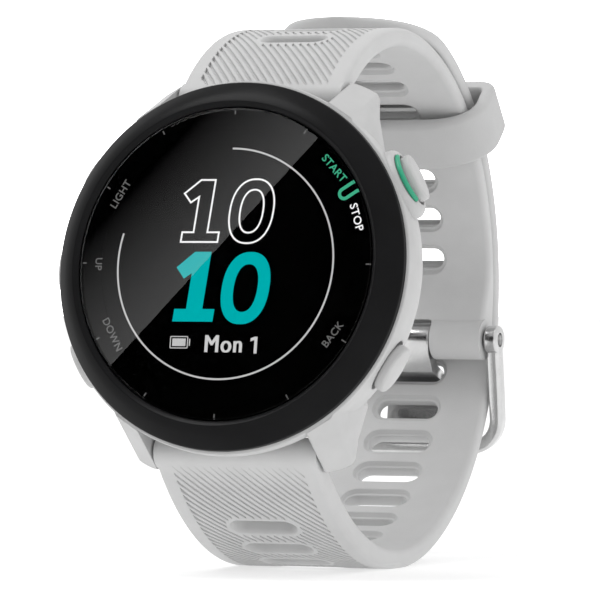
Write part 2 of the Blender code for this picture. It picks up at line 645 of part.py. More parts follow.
def strap_section(angle, radius, thickness, half_width):
    """Eight points around the strap: a rectangle with chamfered corners, across the strap."""
    bevel = min(EDGE_CHAMFER, 0.45 * thickness, 0.45 * half_width)
    half = thickness / 2
    flat = [(half_width - bevel, half), (half_width, half - bevel), (half_width, bevel - half),
            (half_width - bevel, -half), (bevel - half_width, -half), (-half_width, bevel - half),
            (-half_width, half - bevel), (bevel - half_width, half)]
    out = polar(angle, 1.0)
    return [Vector((x, 0.0, 0.0)) + out * (radius + rise) for x, rise in flat]


def strap_band(name, sections, material=None):
    """Loft a closed band through its sections, which follow the loop."""
    shape = bmesh.new()
    rows = [[shape.verts.new(point) for point in section] for section in sections]
    count = len(rows[0])
    for before, after in zip(rows, rows[1:]):
        for i in range(count):
            j = (i + 1) % count
            shape.faces.new((before[i], before[j], after[j], after[i]))
    shape.faces.new(rows[0])
    shape.faces.new(rows[-1])
    bmesh.ops.recalc_face_normals(shape, faces=shape.faces)
    return place(finish_mesh(shape, name), name, loop, material)


def slot_cutter(name, angle, radius):
    """Round-ended slot through the strap: its length is across the strap."""
    out = polar(angle, 1.0)
    along = polar(angle + 90, 1.0)
    axes = Matrix((Vector((1, 0, 0)), along, out)).transposed().to_4x4()
    axes.translation = polar(angle, radius)
    return prism(name, stadium(SLOT_LENGTH, SLOT_WIDTH), -4 * MM, 4 * MM, loop, matrix=axes)


def knuckle(name, centre, radius, half_width):
    return prism(name, arc((0, 0), radius, 0, 345, 23), -half_width, half_width, loop,
                 matrix=across(centre))


half_strap = STRAP_WIDTH / 2
upper_bar_angle, upper_bar_radius = bar_polar(1)
lower_bar_angle, lower_bar_radius = bar_polar(-1)
pin_radius_from_centre = UPPER_RADIUS + UPPER_THICKNESS / 2 - BUCKLE_KNUCKLE
pin_place = polar(PIN_ANGLE, pin_radius_from_centre)

knuckle_lift = LUG_KNUCKLE - CASE_END_THICKNESS / 2
upper_line = smooth_through([
    (upper_bar_angle, upper_bar_radius + knuckle_lift, CASE_END_THICKNESS),
    (118.0, UPPER_RADIUS + 0.2 * MM, CASE_END_THICKNESS),
    (95.0, UPPER_RADIUS + 0.25 * MM, UPPER_THICKNESS + 0.3 * MM),
    (70.0, UPPER_RADIUS, UPPER_THICKNESS),
    (45.0, UPPER_RADIUS, UPPER_THICKNESS),
    (20.0, UPPER_RADIUS, UPPER_THICKNESS),
    (2.0, UPPER_RADIUS, UPPER_THICKNESS),
    (PIN_ANGLE + 7, UPPER_RADIUS - 0.75 * MM, UPPER_THICKNESS + 1.4 * MM),
    (PIN_ANGLE, pin_radius_from_centre + 0.3 * MM, BUCKLE_KNUCKLE * 1.7),
])
lower_line = smooth_through([
    (lower_bar_angle, lower_bar_radius + knuckle_lift, CASE_END_THICKNESS),
    (-132.0, LOWER_RADIUS + LOWER_FULLNESS, CASE_END_THICKNESS),
    (-110.0, LOWER_RADIUS + LOWER_FULLNESS, CASE_END_THICKNESS - 0.1 * MM),
    (-90.0, LOWER_RADIUS + LOWER_FULLNESS - 0.1 * MM, CASE_END_THICKNESS - 0.2 * MM),
    (-60.0, LOWER_RADIUS + 0.35 * MM, LOWER_THICKNESS + 0.4 * MM),
    (-35.0, LOWER_RADIUS + 0.1 * MM, LOWER_THICKNESS + 0.2 * MM),
    (-12.0, LOWER_RADIUS, LOWER_THICKNESS),
    (30.0, LOWER_RADIUS, LOWER_THICKNESS),
    (TAIL_TIP_ANGLE, LOWER_RADIUS, LOWER_THICKNESS),
])

upper_sections = [strap_section(angle, *upper_line(angle), half_strap)
                  for angle in np.linspace(upper_bar_angle, PIN_ANGLE, 32)]
upper_strap = strap_band("upper_strap", upper_sections, SILICONE)
upper_bar_place = polar(upper_bar_angle, upper_bar_radius)
join(upper_strap, knuckle("upper_lug_knuckle", upper_bar_place, LUG_KNUCKLE, half_strap))
join(upper_strap, knuckle("upper_buckle_knuckle", pin_place, BUCKLE_KNUCKLE, half_strap))
upper_step = math.degrees(UPPER_SLOT_PITCH / UPPER_RADIUS)
for angle in np.arange(*UPPER_SLOT_RANGE, upper_step):
    cut(upper_strap, slot_cutter(f"upper_slot_{angle:.0f}", angle, UPPER_RADIUS))
cut(upper_strap, knuckle("pin_bore", pin_place, PIN_RADIUS + GAP, half_strap + 1 * MM))
notch = prism("tongue_notch", rounded_rectangle(TONGUE_WIDTH + 2 * GAP, 9.0 * MM, 0.5 * MM, 2),
              -5 * MM, 5 * MM, loop,
              matrix=Matrix.Translation(pin_place + Vector((0, 0, 3.0 * MM - 4.5 * MM)))
              @ Matrix.Rotation(math.pi / 2, 4, "X"))
cut(upper_strap, notch)

tip_reach = math.degrees(half_strap / LOWER_RADIUS)
body_angles = np.linspace(lower_bar_angle, TAIL_TIP_ANGLE - tip_reach, 46)
lower_sections = [strap_section(angle, *lower_line(angle), half_strap) for angle in body_angles]
for step in (15, 30, 45, 60, 72, 81):
    turn = math.radians(step)
    angle = TAIL_TIP_ANGLE - tip_reach * (1 - math.sin(turn))
    lower_sections.append(strap_section(angle, *lower_line(angle), half_strap * math.cos(turn)))
lower_strap = strap_band("lower_strap", lower_sections, SILICONE)
lower_bar_place = polar(lower_bar_angle, lower_bar_radius)
join(lower_strap, knuckle("lower_lug_knuckle", lower_bar_place, LUG_KNUCKLE, half_strap))
lower_step = math.degrees(LOWER_SLOT_PITCH / LOWER_RADIUS)
first_slot = TONGUE_SLOT - lower_step * math.floor((TONGUE_SLOT - LOWER_SLOT_RANGE[0]) / lower_step)
for angle in np.arange(first_slot, LOWER_SLOT_RANGE[1], lower_step):
    cut(lower_strap, slot_cutter(f"lower_slot_{angle:.0f}", angle, LOWER_RADIUS))
cut(lower_strap, box("rest_flat", (STRAP_WIDTH + 4 * MM, 16 * MM, 2 * MM),
                     (0.0, 0.0, -loop_height - 1 * MM), loop))

# ---- spring bars with their quick-release pins ----------------------------------------------
bar_end = half_strap - 0.4 * MM
tip_end = lug_inside + BAR_TIP_REACH
pin_inner = BAR_GAP_START + RELEASE_TRAVEL + GAP
for side, name, strap in ((1, "upper", upper_strap), (-1, "lower", lower_strap)):
    spot = Vector((0.0, side * BAR_OFFSET, BAR_LEVEL))
    line = across(spot)
    bore = prism(name + "_bar_bore", arc((0, 0), BAR_RADIUS + GAP, 0, 342, 19), -half_strap - 1 * MM,
                 half_strap + 1 * MM, head, matrix=line)
    cut(strap, bore)
    turned(name + "_spring_bar", [
        (0.0, BAR_GAP_START), (BAR_RADIUS, BAR_GAP_START), (BAR_RADIUS, -bar_end),
        (BAR_TIP_RADIUS, -bar_end), (BAR_TIP_RADIUS, -tip_end), (0.0, -tip_end),
    ], head, STEEL, matrix=line, steps=16)
    release = turned(name + "_release_pin", [
        (0.0, tip_end), (BAR_TIP_RADIUS, tip_end), (BAR_TIP_RADIUS, bar_end),
        (BAR_RADIUS, bar_end), (BAR_RADIUS, pin_inner), (0.0, pin_inner),
    ], head, STEEL, matrix=line, steps=16)
    knob_spot = Matrix.Translation(spot + Vector((RELEASE_KNOB_X, 0.0, 0.0)))
    knob = disc(name + "_release_knob", RELEASE_KNOB_RADIUS, 0.0, -RELEASE_KNOB_REACH, head,
                matrix=knob_spot, steps=16)
    join(release, knob)
    window_length = RELEASE_TRAVEL + 2 * RELEASE_KNOB_RADIUS + 2 * GAP
    window = box(name + "_release_window",
                 (window_length, 2 * (RELEASE_KNOB_RADIUS + GAP), LUG_KNUCKLE + 2 * MM),
                 spot + Vector((RELEASE_KNOB_X - RELEASE_TRAVEL / 2, 0.0,
                                -(LUG_KNUCKLE + 2 * MM) / 2)), head)
    cut(strap, window)

# ---- buckle: pin, frame and tongue ----------------------------------------------------------
buckle = make_empty("buckle_axis", loop, Matrix.Translation(pin_place))
bar_centre = LOWER_RADIUS + 0.1 * MM + LOWER_THICKNESS / 2 + BAR_CLEARANCE + FRAME_DEPTH / 2
to_bar = polar(BAR_ANGLE, bar_centre) - pin_place
frame_reach = to_bar.length
frame_lean = math.atan2(to_bar.y, -to_bar.z)
frame_inside = half_strap + GAP
frame_outside = frame_inside + FRAME_SIDE
pin_half = frame_outside - 0.4 * MM
prism("buckle_pin", arc((0, 0), PIN_RADIUS, 0, 340, 17), -pin_half, pin_half, buckle, STEEL,
      matrix=across((0, 0, 0)))


def u_outline(outside, reach, corner):
    """Half of a U seen from outside the loop, as (x, height above the pin)."""
    arm = [(outside, (corner - reach) * step / 4) for step in range(4)]
    return [*arm, *arc((outside - corner, corner - reach), corner, 0, -90, 5)]


outer_half = u_outline(frame_outside, frame_reach + FRAME_BAR / 2, FRAME_CORNER)
inner_half = u_outline(frame_inside, frame_reach - FRAME_BAR / 2, FRAME_CORNER - FRAME_SIDE)
u_shape = (outer_half + [(-x, y) for x, y in reversed(outer_half)]
           + [(-x, y) for x, y in inner_half] + list(reversed(inner_half)))
frame_tilt = Matrix.Rotation(math.pi / 2 + frame_lean, 4, "X")
buckle_frame = prism("buckle_frame", u_shape, -FRAME_DEPTH / 2, FRAME_DEPTH / 2, buckle, STEEL,
                     matrix=frame_tilt)
for vertex in buckle_frame.data.vertices:
    part_way = min(-vertex.co.y / frame_reach, 1.0)
    vertex.co.z -= FRAME_BOW * 4 * part_way * (1 - part_way)
edges = buckle_frame.modifiers.new("edges", "BEVEL")
edges.width = 0.35 * MM
edges.segments = 1
edges.angle_limit = math.radians(50)
for side in (1, -1):
    low, high = sorted((side * frame_inside, side * frame_outside))
    eye = prism(f"buckle_eye_{side}", arc((0, 0), FRAME_EYE, 0, 345, 23), low, high, buckle,
                matrix=across((0, 0, 0)))
    join(buckle_frame, eye)
cut(buckle_frame, prism("frame_pin_hole", arc((0, 0), PIN_RADIUS + SEAM, 0, 340, 17),
                        -pin_half - SEAM, pin_half + SEAM, buckle, matrix=across((0, 0, 0))))

slot_middle = polar(TONGUE_SLOT, LOWER_RADIUS) - pin_place
slot_out = polar(TONGUE_SLOT, 1.0)
slot_along = polar(TONGUE_SLOT + 90, 1.0)


def beside(point, out, along):
    spot = point + slot_out * out + slot_along * along
    return spot.y, spot.z


bar_face = Matrix.Rotation(frame_lean, 3, "X") @ Vector((0, FRAME_DEPTH / 2 + GAP, -frame_reach))
low_edge = -TONGUE_THICKNESS / 2 - 0.1 * MM
high_edge = TONGUE_THICKNESS / 2 - 0.1 * MM
through = LOWER_THICKNESS / 2 + 0.7 * MM
neck_outline = [
    (-TONGUE_BARREL, 0.0), (-1.75 * MM, -1.8 * MM),
    beside(slot_middle, -2.6 * MM, low_edge), beside(slot_middle, through + 0.5 * MM, low_edge + 0.1 * MM),
    beside(slot_middle, through + 0.5 * MM, high_edge - 0.1 * MM),
    beside(slot_middle, -1.4 * MM, high_edge), (0.2 * MM, -TONGUE_BARREL + 0.1 * MM),
]
plate_outline = [
    beside(slot_middle, through, low_edge), (bar_face.y, bar_face.z + 2.6 * MM),
    (bar_face.y, bar_face.z - 0.9 * MM), (bar_face.y + TONGUE_THICKNESS * 0.7, bar_face.z - 0.9 * MM),
    (bar_face.y + TONGUE_THICKNESS * 0.8, bar_face.z + 3.0 * MM),
    beside(slot_middle, through + TONGUE_THICKNESS, high_edge - 0.2 * MM),
    beside(slot_middle, through, high_edge),
]
tongue = prism("buckle_tongue", arc((0, 0), TONGUE_BARREL, 0, 345, 23), -TONGUE_WIDTH / 2,
               TONGUE_WIDTH / 2, buckle, STEEL, matrix=across((0, 0, 0)))
join(tongue, prism("tongue_neck", neck_outline, -TONGUE_WIDTH / 2, TONGUE_WIDTH / 2, buckle,
                   matrix=across((0, 0, 0))))
join(tongue, prism("tongue_plate", plate_outline, -PLATE_WIDTH / 2, PLATE_WIDTH / 2, buckle,
                   matrix=across((0, 0, 0))))
cut(tongue, prism("tongue_bore", arc((0, 0), PIN_RADIUS + GAP, 0, 340, 17), -TONGUE_WIDTH,
                  TONGUE_WIDTH, buckle, matrix=across((0, 0, 0))))

# ---- keeper ---------------------------------------------------------------------------------
keeper_out = polar(KEEPER_ANGLE, 1.0)
keeper_along = polar(KEEPER_ANGLE + 90, 1.0)
keeper_axes = Matrix((Vector((1, 0, 0)), keeper_out, -keeper_along)).transposed().to_4x4()


def keeper_section(side, floor, roof, bilge, fullness, corner):
    """Section of the keeper as (x, radius): flat floor, round bilges, upright sides, flat roof."""
    rise = roof - floor
    turn_up = floor + rise * bilge[1]
    right = []
    for step in np.linspace(0.0, math.pi / 2, 9):
        right.append((side - bilge[0] + bilge[0] * math.sin(step) ** (2 / fullness),
                      turn_up - (turn_up - floor) * math.cos(step) ** (2 / fullness)))
    right += arc((side - corner, roof - corner), corner, 0, 90, 4)
    return right + [(-x, radius) for x, radius in reversed(right)]


room = half_strap + KEEPER_ASIDE
floor_face = UPPER_RADIUS - UPPER_THICKNESS / 2 - KEEPER_SAG
roof_face = LOWER_RADIUS + LOWER_THICKNESS / 2 + KEEPER_SLACK
keeper_outside = keeper_section(room + KEEPER_WALL, floor_face - KEEPER_FLOOR, roof_face + KEEPER_ROOF,
                                (KEEPER_BILGE + KEEPER_WALL, 0.56), 2.0, 0.9 * MM)
keeper_inside = keeper_section(room, floor_face, roof_face, (KEEPER_BILGE, 0.63), 2.5, 0.6 * MM)
keeper = prism("strap_keeper", keeper_outside, -KEEPER_WIDTH / 2, KEEPER_WIDTH / 2, loop, SILICONE,
               matrix=keeper_axes)
soft = keeper.modifiers.new("soft_edges", "BEVEL")
soft.width = 0.5 * MM
soft.segments = 2
soft.angle_limit = math.radians(60)
cut(keeper, prism("keeper_opening", keeper_inside, -KEEPER_WIDTH, KEEPER_WIDTH, loop,
                  matrix=keeper_axes))
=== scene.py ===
import math

import bmesh
import bpy
import numpy as np
from mathutils import Matrix, Vector


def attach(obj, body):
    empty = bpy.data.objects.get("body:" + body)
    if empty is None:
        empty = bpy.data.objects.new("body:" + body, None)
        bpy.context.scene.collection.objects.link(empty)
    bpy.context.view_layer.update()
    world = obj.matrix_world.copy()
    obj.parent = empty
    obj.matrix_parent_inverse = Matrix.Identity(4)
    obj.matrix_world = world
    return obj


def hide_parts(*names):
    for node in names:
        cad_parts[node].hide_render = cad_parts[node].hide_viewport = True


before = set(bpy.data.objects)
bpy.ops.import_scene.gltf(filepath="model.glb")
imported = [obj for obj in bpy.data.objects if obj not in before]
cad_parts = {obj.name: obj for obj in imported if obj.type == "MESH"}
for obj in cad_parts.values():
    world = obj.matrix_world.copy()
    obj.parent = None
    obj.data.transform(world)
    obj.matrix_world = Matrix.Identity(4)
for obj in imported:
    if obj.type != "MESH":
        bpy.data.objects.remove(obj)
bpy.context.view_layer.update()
mm = 0.001
fixedBody = "head_and_straps"

# where things are, in millimetres unless a name says degrees
layout = {
    "loopHeight": 32.805,   # centre of the strap loop above the floor
    "dialForward": 29.7,    # from there to the centre of the display
    "dialUp": 2.8,
    "leanDegrees": 10.12,
    "upperRadius": 28.65,   # middle of each half of the strap
    "lowerRadius": 30.775,
    "halfStrap": 10.0,
    "barOffset": 20.4,
    "barLevel": -8.3,
    "pinDegrees": -14.55,
    "pinRadius": 27.2,
}
loopCentre = Vector((0.0, 0.0, layout["loopHeight"] * mm))
dialCentre = loopCentre + Vector((0.0, -layout["dialForward"], layout["dialUp"])) * mm
headMatrix = (Matrix.Translation(dialCentre)
              @ Matrix.Rotation(math.pi / 2 - math.radians(layout["leanDegrees"]), 4, "X"))


def outward(degrees):
    turn = math.radians(degrees)
    return Vector((0.0, math.cos(turn), math.sin(turn)))


def loopPoint(degrees, radius, x=0.0):
    return loopCentre + (outward(degrees) * radius + Vector((x, 0.0, 0.0))) * mm


def loopMatrix(degrees, radius):
    # frame on the loop, in millimetres: X across the strap, Y along it, Z outwards
    columns = Matrix((Vector((1, 0, 0)), outward(degrees + 90), outward(degrees)))
    axes = columns.transposed().to_4x4()
    axes.translation = loopPoint(degrees, radius)
    return axes @ Matrix.Scale(mm, 4)


sideways = Matrix(((0, 0, 1), (1, 0, 0), (0, 1, 0))).to_4x4()


def acrossMatrix(point):
    # frame, in millimetres, whose Z runs across the watch, with X to the back and Y up
    return Matrix.Translation(point) @ sideways @ Matrix.Scale(mm, 4)


headMm = headMatrix @ Matrix.Scale(mm, 4)


# mesh helpers

def arc(centre, radius, start, end, steps):
    turns = np.radians(np.linspace(start, end, steps + 1))
    return [(centre[0] + radius * math.cos(t), centre[1] + radius * math.sin(t)) for t in turns]


def stadium(length, width, steps=10):
    reach = (length - width) / 2
    return arc((reach, 0), width / 2, -90, 90, steps) + arc((-reach, 0), width / 2, 90, 270, steps)


def oval(length, height, steps=64):
    return [(length / 2 * math.cos(t), height / 2 * math.sin(t))
            for t in np.linspace(0, 2 * math.pi, steps, endpoint=False)]


def roundedBox(width, height, radius, steps=6):
    x = width / 2 - radius
    y = height / 2 - radius
    corners = [(x, y, 0), (-x, y, 90), (-x, -y, 180), (x, -y, 270)]
    return [p for cx, cy, turn in corners for p in arc((cx, cy), radius, turn, turn + 90, steps)]


def disc(radius, steps):
    return arc((0, 0), radius, 0, 360 - 360 / steps, steps - 1)


def oblong(left, right, low, high):
    return [(left, low), (right, low), (right, high), (left, high)]


def makeObject(name, shape, matrix=None, sharpDegrees=32):
    if matrix is not None:
        bmesh.ops.transform(shape, matrix=matrix, verts=shape.verts)
    bmesh.ops.recalc_face_normals(shape, faces=shape.faces)
    mesh = bpy.data.meshes.new(name)
    shape.to_mesh(mesh)
    shape.free()
    mesh.shade_smooth()
    mesh.set_sharp_from_angle(angle=math.radians(sharpDegrees))
    thing = bpy.data.objects.new(name, mesh)
    bpy.context.scene.collection.objects.link(thing)
    return thing


def loftInto(shape, rings, capped=True):
    rows = [[shape.verts.new(point) for point in ring] for ring in rings]
    count = len(rows[0])
    for before, after in zip(rows, rows[1:]):
        for i in range(count):
            j = (i + 1) % count
            shape.faces.new((before[i], before[j], after[j], after[i]))
    if capped:
        shape.faces.new(rows[0])
        shape.faces.new(rows[-1])


def loft(name, rings, matrix=None, sharpDegrees=32):
    shape = bmesh.new()
    loftInto(shape, rings)
    return makeObject(name, shape, matrix, sharpDegrees)


def slab(name, outline, low, high, matrix=None):
    return loft(name, [[(x, y, low) for x, y in outline], [(x, y, high) for x, y in outline]], matrix)


def softSlab(name, low, high, radius, matrix, shrink, steps=4):
    # extruded shape whose two rims are rounded; shrink(amount) gives its outline drawn in
    rim = [(radius * (1 - math.cos(t)), radius * (1 - math.sin(t)))
           for t in np.radians(np.linspace(0, 90, steps + 1))]
    levels = [(low + rise, inset) for rise, inset in rim]
    levels += [(high - rise, inset) for rise, inset in reversed(rim)]
    return loft(name, [[(x, y, z) for x, y in shrink(inset)] for z, inset in levels], matrix)


def lathe(name, profile, steps, matrix, sharpDegrees=32):
    # turns a closed profile of (radius, height) about Z; a radius of 0 closes it on the axis
    shape = bmesh.new()
    columns = []
    for k in range(steps):
        c = math.cos(2 * math.pi * k / steps)
        s = math.sin(2 * math.pi * k / steps)
        columns.append([None if r == 0 else shape.verts.new((r * c, r * s, z)) for r, z in profile])
    poles = [shape.verts.new((0, 0, z)) if r == 0 else None for r, z in profile]
    onAxis = profile[0][0] == 0
    pairs = list(zip(range(len(profile)), range(1, len(profile))))
    if not onAxis:
        pairs.append((len(profile) - 1, 0))
    for k in range(steps):
        here = columns[k]
        there = columns[(k + 1) % steps]
        for a, b in pairs:
            if here[a] is None and here[b] is None:
                continue
            if here[a] is None:
                shape.faces.new((poles[a], here[b], there[b]))
            elif here[b] is None:
                shape.faces.new((here[a], poles[b], there[a]))
            else:
                shape.faces.new((here[a], here[b], there[b], there[a]))
    return makeObject(name, shape, matrix, sharpDegrees)


def merged(name, things):
    # one object from several
    shape = bmesh.new()
    for thing in things:
        shape.from_mesh(thing.data)
        bpy.data.objects.remove(thing, do_unlink=True)
    return makeObject(name, shape)


def carve(target, tool, operation="DIFFERENCE", sharpDegrees=32):
    boolean = target.modifiers.new("carve", "BOOLEAN")
    boolean.operation = operation
    boolean.solver = "EXACT"
    boolean.object = tool
    evaluated = target.evaluated_get(bpy.context.evaluated_depsgraph_get())
    mesh = bpy.data.meshes.new_from_object(evaluated)
    target.modifiers.clear()
    target.data = mesh
    mesh.shade_smooth()
    mesh.set_sharp_from_angle(angle=math.radians(sharpDegrees))
    bpy.data.objects.remove(tool, do_unlink=True)
    return target


def show(thing, body, finish, slotName, *nodes):
    thing.data.materials.clear()
    thing.data.materials.append(finish)
    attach(thing, body)
    if nodes:
        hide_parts(*nodes)
    return thing


# materials

def makeFinish(name, colour, roughness, metallic=0.0, mottle=0.05, mottleScale=260.0, grain=0.00001,
               grainScale=5200.0, roughSpread=0.06, softEdge=0.00012, extra=None):
    # surface with slight mottling, fine grain and edges softened by a bevel
    material = bpy.data.materials.new(name)
    material.use_nodes = True
    nodes = material.node_tree.nodes
    links = material.node_tree.links
    shader = nodes["Principled BSDF"]
    shader.inputs["Metallic"].default_value = metallic
    place = nodes.new("ShaderNodeTexCoord")
    broad = nodes.new("ShaderNodeTexNoise")
    broad.inputs["Scale"].default_value = mottleScale
    broad.inputs["Detail"].default_value = 4.0
    fine = nodes.new("ShaderNodeTexNoise")
    fine.inputs["Scale"].default_value = grainScale
    fine.inputs["Detail"].default_value = 2.0
    ramp = nodes.new("ShaderNodeValToRGB")
    ramp.color_ramp.elements[0].position = 0.3
    ramp.color_ramp.elements[1].position = 0.7
    ramp.color_ramp.elements[0].color = (*[c * (1 - mottle) for c in colour], 1)
    ramp.color_ramp.elements[1].color = (*[min(1.0, c * (1 + mottle)) for c in colour], 1)
    spread = nodes.new("ShaderNodeMapRange")
    spread.inputs["To Min"].default_value = max(0.0, roughness - roughSpread)
    spread.inputs["To Max"].default_value = min(1.0, roughness + roughSpread)
    bump = nodes.new("ShaderNodeBump")
    bump.inputs["Distance"].default_value = grain
    bump.inputs["Strength"].default_value = 1.0
    links.new(place.outputs["Object"], broad.inputs["Vector"])
    links.new(place.outputs["Object"], fine.inputs["Vector"])
    links.new(broad.outputs["Fac"], ramp.inputs["Fac"])
    links.new(ramp.outputs["Color"], shader.inputs["Base Color"])
    links.new(fine.outputs["Fac"], spread.inputs["Value"])
    links.new(spread.outputs["Result"], shader.inputs["Roughness"])
    links.new(fine.outputs["Fac"], bump.inputs["Height"])
    if softEdge:
        edge = nodes.new("ShaderNodeBevel")
        edge.samples = 4
        edge.inputs["Radius"].default_value = softEdge
        links.new(edge.outputs["Normal"], bump.inputs["Normal"])
    links.new(bump.outputs["Normal"], shader.inputs["Normal"])
    for socket, value in (extra or {}).items():
        shader.inputs[socket].default_value = value
    return material


palePlastic = makeFinish("palePlastic", (0.52, 0.52, 0.52), 0.42, softEdge=0.00025)
paleSilicone = makeFinish("paleSilicone", (0.57, 0.57, 0.57), 0.62, mottle=0.03, grain=0.000012,
                          softEdge=0.00018, extra={"Sheen Weight": 0.08})
# the strap's silicone made darker for the keeper; the darkening is painted shade
shadedKeeperSilicone = makeFinish("shadedKeeperSilicone", (0.51, 0.51, 0.51), 0.62, mottle=0.03, grain=0.000012,
                            softEdge=0.00018, extra={"Sheen Weight": 0.08})
satinBlack = makeFinish("satinBlack", (0.006, 0.006, 0.0065), 0.36, mottle=0.2, grain=0.000008,
                        grainScale=7000.0, softEdge=0.0001)
bezelBlack = makeFinish("bezelBlack", (0.0045, 0.0045, 0.005), 0.33, mottle=0.2, grain=0.000006,
                        grainScale=7000.0, softEdge=0.00006, extra={"Specular IOR Level": 0.1})
displayBlack = makeFinish("displayBlack", (0.0012, 0.0012, 0.0014), 0.5, mottle=0.2, grain=0.0,
                          softEdge=0, extra={"Specular IOR Level": 0.0})
greenPlastic = makeFinish("greenPlastic", (0.025, 0.36, 0.20), 0.34, mottle=0.08, softEdge=0)
steel = makeFinish("brushedSteel", (0.62, 0.62, 0.62), 0.2, 1.0, mottleScale=900.0, roughSpread=0.04)
boardGreen = makeFinish("boardGreen", (0.02, 0.16, 0.07), 0.5, mottle=0.3, mottleScale=700.0)
foil = makeFinish("foil", (0.55, 0.56, 0.58), 0.35, 0.8)
sealRubber = makeFinish("sealRubber", (0.03, 0.03, 0.03), 0.7)
ceramic = makeFinish("ceramic", (0.70, 0.64, 0.50), 0.5)
gold = makeFinish("gold", (0.80, 0.58, 0.22), 0.25, 1.0)
smoked = makeFinish("smokedWindow", (0.012, 0.010, 0.012), 0.08, mottle=0.2, roughSpread=0.02)
clearGlass = makeFinish("clearGlass", (1.0, 1.0, 1.0), 0.0, mottle=0.0, grain=0.0, roughSpread=0.0015,
                        softEdge=0, extra={"Transmission Weight": 1.0, "IOR": 1.45})


def makeGlow(name, colour, strength=1.0):
    # lit parts of the display, slightly uneven as a backlight is
    material = makeFinish(name, tuple(c * 0.2 for c in colour), 0.5, softEdge=0, grain=0.0,
                          extra={"Specular IOR Level": 0.0, "Emission Strength": strength})
    nodes = material.node_tree.nodes
    ramp = nodes.new("ShaderNodeValToRGB")
    ramp.color_ramp.elements[0].color = (*[c * 0.96 for c in colour], 1)
    ramp.color_ramp.elements[1].color = (*colour, 1)
    noise = [n for n in nodes if n.type == "TEX_NOISE"][0]
    material.node_tree.links.new(noise.outputs["Fac"], ramp.inputs["Fac"])
    material.node_tree.links.new(ramp.outputs["Color"], nodes["Principled BSDF"].inputs["Emission Color"])
    return material


print("finishes made")

# bezel and lens
bezelShape = {
    "bore": 17.93, "boreUp": 0.2, "chamfer": 0.1,        # the hole that holds the lens
    "crest": 18.5, "crestUp": 0.6, "crestRound": 0.12,   # highest line of the ring
    "slopeRun": 1.2, "slopeFall": 0.62,
    "edge": 21.06, "edgeUp": -1.35, "edgeRound": 0.45, "edgeDrop": 0.35, "base": -2.2,
    "ledge": 16.4, "ledgeUp": -0.6,
}
lensShape = {"radius": 17.78, "top": 0.24, "base": -0.36, "chamfer": 0.12}


def buildBezel():
    b = bezelShape
    soft = b["crestRound"]
    rim = arc((b["edge"] - b["edgeRound"], b["edgeUp"] - b["edgeDrop"]), b["edgeRound"], 55, 0, 5)
    profile = [(b["ledge"], b["ledgeUp"]), (b["bore"], b["ledgeUp"]),
               (b["bore"], b["boreUp"] - b["chamfer"]), (b["bore"] + b["chamfer"], b["boreUp"]),
               (b["crest"] - soft, b["crestUp"] - 0.05),
               (b["crest"], b["crestUp"]), (b["crest"] + soft, b["crestUp"] - 0.03),
               (b["crest"] + b["slopeRun"], b["crestUp"] - b["slopeFall"]), *rim,
               (b["edge"], b["base"]), (b["ledge"], b["base"])]
    return lathe("bezelRing", profile, 240, headMm, 24)


def buildLens():
    g = lensShape
    profile = [(0, g["top"]), (g["radius"] - g["chamfer"], g["top"]),
               (g["radius"], g["top"] - g["chamfer"]), (g["radius"], g["base"]), (0, g["base"])]
    return lathe("lensGlass", profile, 200, headMm)


show(buildBezel(), fixedBody, bezelBlack, "black_plastic", "bezel")
show(buildLens(), fixedBody, clearGlass, "lens_glass", "lens")
print("bezel and lens built")

# dial graphics
dial = {
    "plane": -0.40, "thick": 0.03, "shift": (-0.08, 0.03),
    "ringRadius": 13.15, "ringWidth": 0.2, "ringSweep": (90, -195),
    "tickRadius": 17.3, "tickReach": 0.22, "tickHalfWidth": 0.07, "hourWithoutTick": 2,
    "digitLean": 5.7, "digitLine": 0.2, "noughtStroke": (2.9, 2.8),
}
white = makeGlow("dialWhite", (0.90, 0.90, 0.90))
grey = makeGlow("dialGrey", (0.13, 0.13, 0.13))
softGrey = makeGlow("dialSoftGrey", (0.52, 0.52, 0.52))
teal = makeGlow("dialTeal", (0.0, 0.40, 0.41))
dateGlow = makeGlow("dialDate", (0.58, 0.58, 0.58))
signGreen = makeGlow("dialGreen", (0.05, 0.40, 0.23))
dialMm = headMm @ Matrix.Translation((dial["shift"][0], dial["shift"][1], dial["plane"]))


def flatPiece(name, outlines, matrix=None):
    # thin plate from outlines; the first is its edge and the others are holes in it
    curve = bpy.data.curves.new(name, "CURVE")
    curve.dimensions = "2D"
    curve.fill_mode = "BOTH"
    curve.extrude = dial["thick"] / 2
    for outline in outlines:
        spline = curve.splines.new("POLY")
        spline.points.add(len(outline) - 1)
        for point, (x, y) in zip(spline.points, outline):
            point.co = (x, y, 0.0, 1.0)
        spline.use_cyclic_u = True
    return meshFromCurve(name, curve, matrix)


def meshFromCurve(name, curve, matrix):
    source = bpy.data.objects.new(name, curve)
    bpy.context.scene.collection.objects.link(source)
    evaluated = source.evaluated_get(bpy.context.evaluated_depsgraph_get())
    mesh = bpy.data.meshes.new_from_object(evaluated)
    bpy.data.objects.remove(source, do_unlink=True)
    shape = bmesh.new()
    shape.from_mesh(mesh)
    bmesh.ops.remove_doubles(shape, verts=shape.verts, dist=0.0005)
    return makeObject(name, shape, matrix)


def word(name, text, centre, height, turn=0.0, bold=0.0, stretch=1.0, spacing=1.0):
    curve = bpy.data.curves.new(name, "FONT")
    curve.body = text
    curve.align_x = "CENTER"
    curve.align_y = "CENTER"
    curve.size = height * 1.38
    curve.offset = bold
    curve.space_character = spacing
    curve.extrude = dial["thick"] / 2
    spot = Matrix.Translation((centre[0], centre[1], 0)) @ Matrix.Rotation(math.radians(turn), 4, "Z")
    return meshFromCurve(name, curve, dialMm @ spot @ Matrix.Diagonal((stretch, 1, 1, 1)))


def lean(points, centre):
    k = math.tan(math.radians(dial["digitLean"]))
    return [(centre[0] + x + k * y, centre[1] + y) for x, y in points]


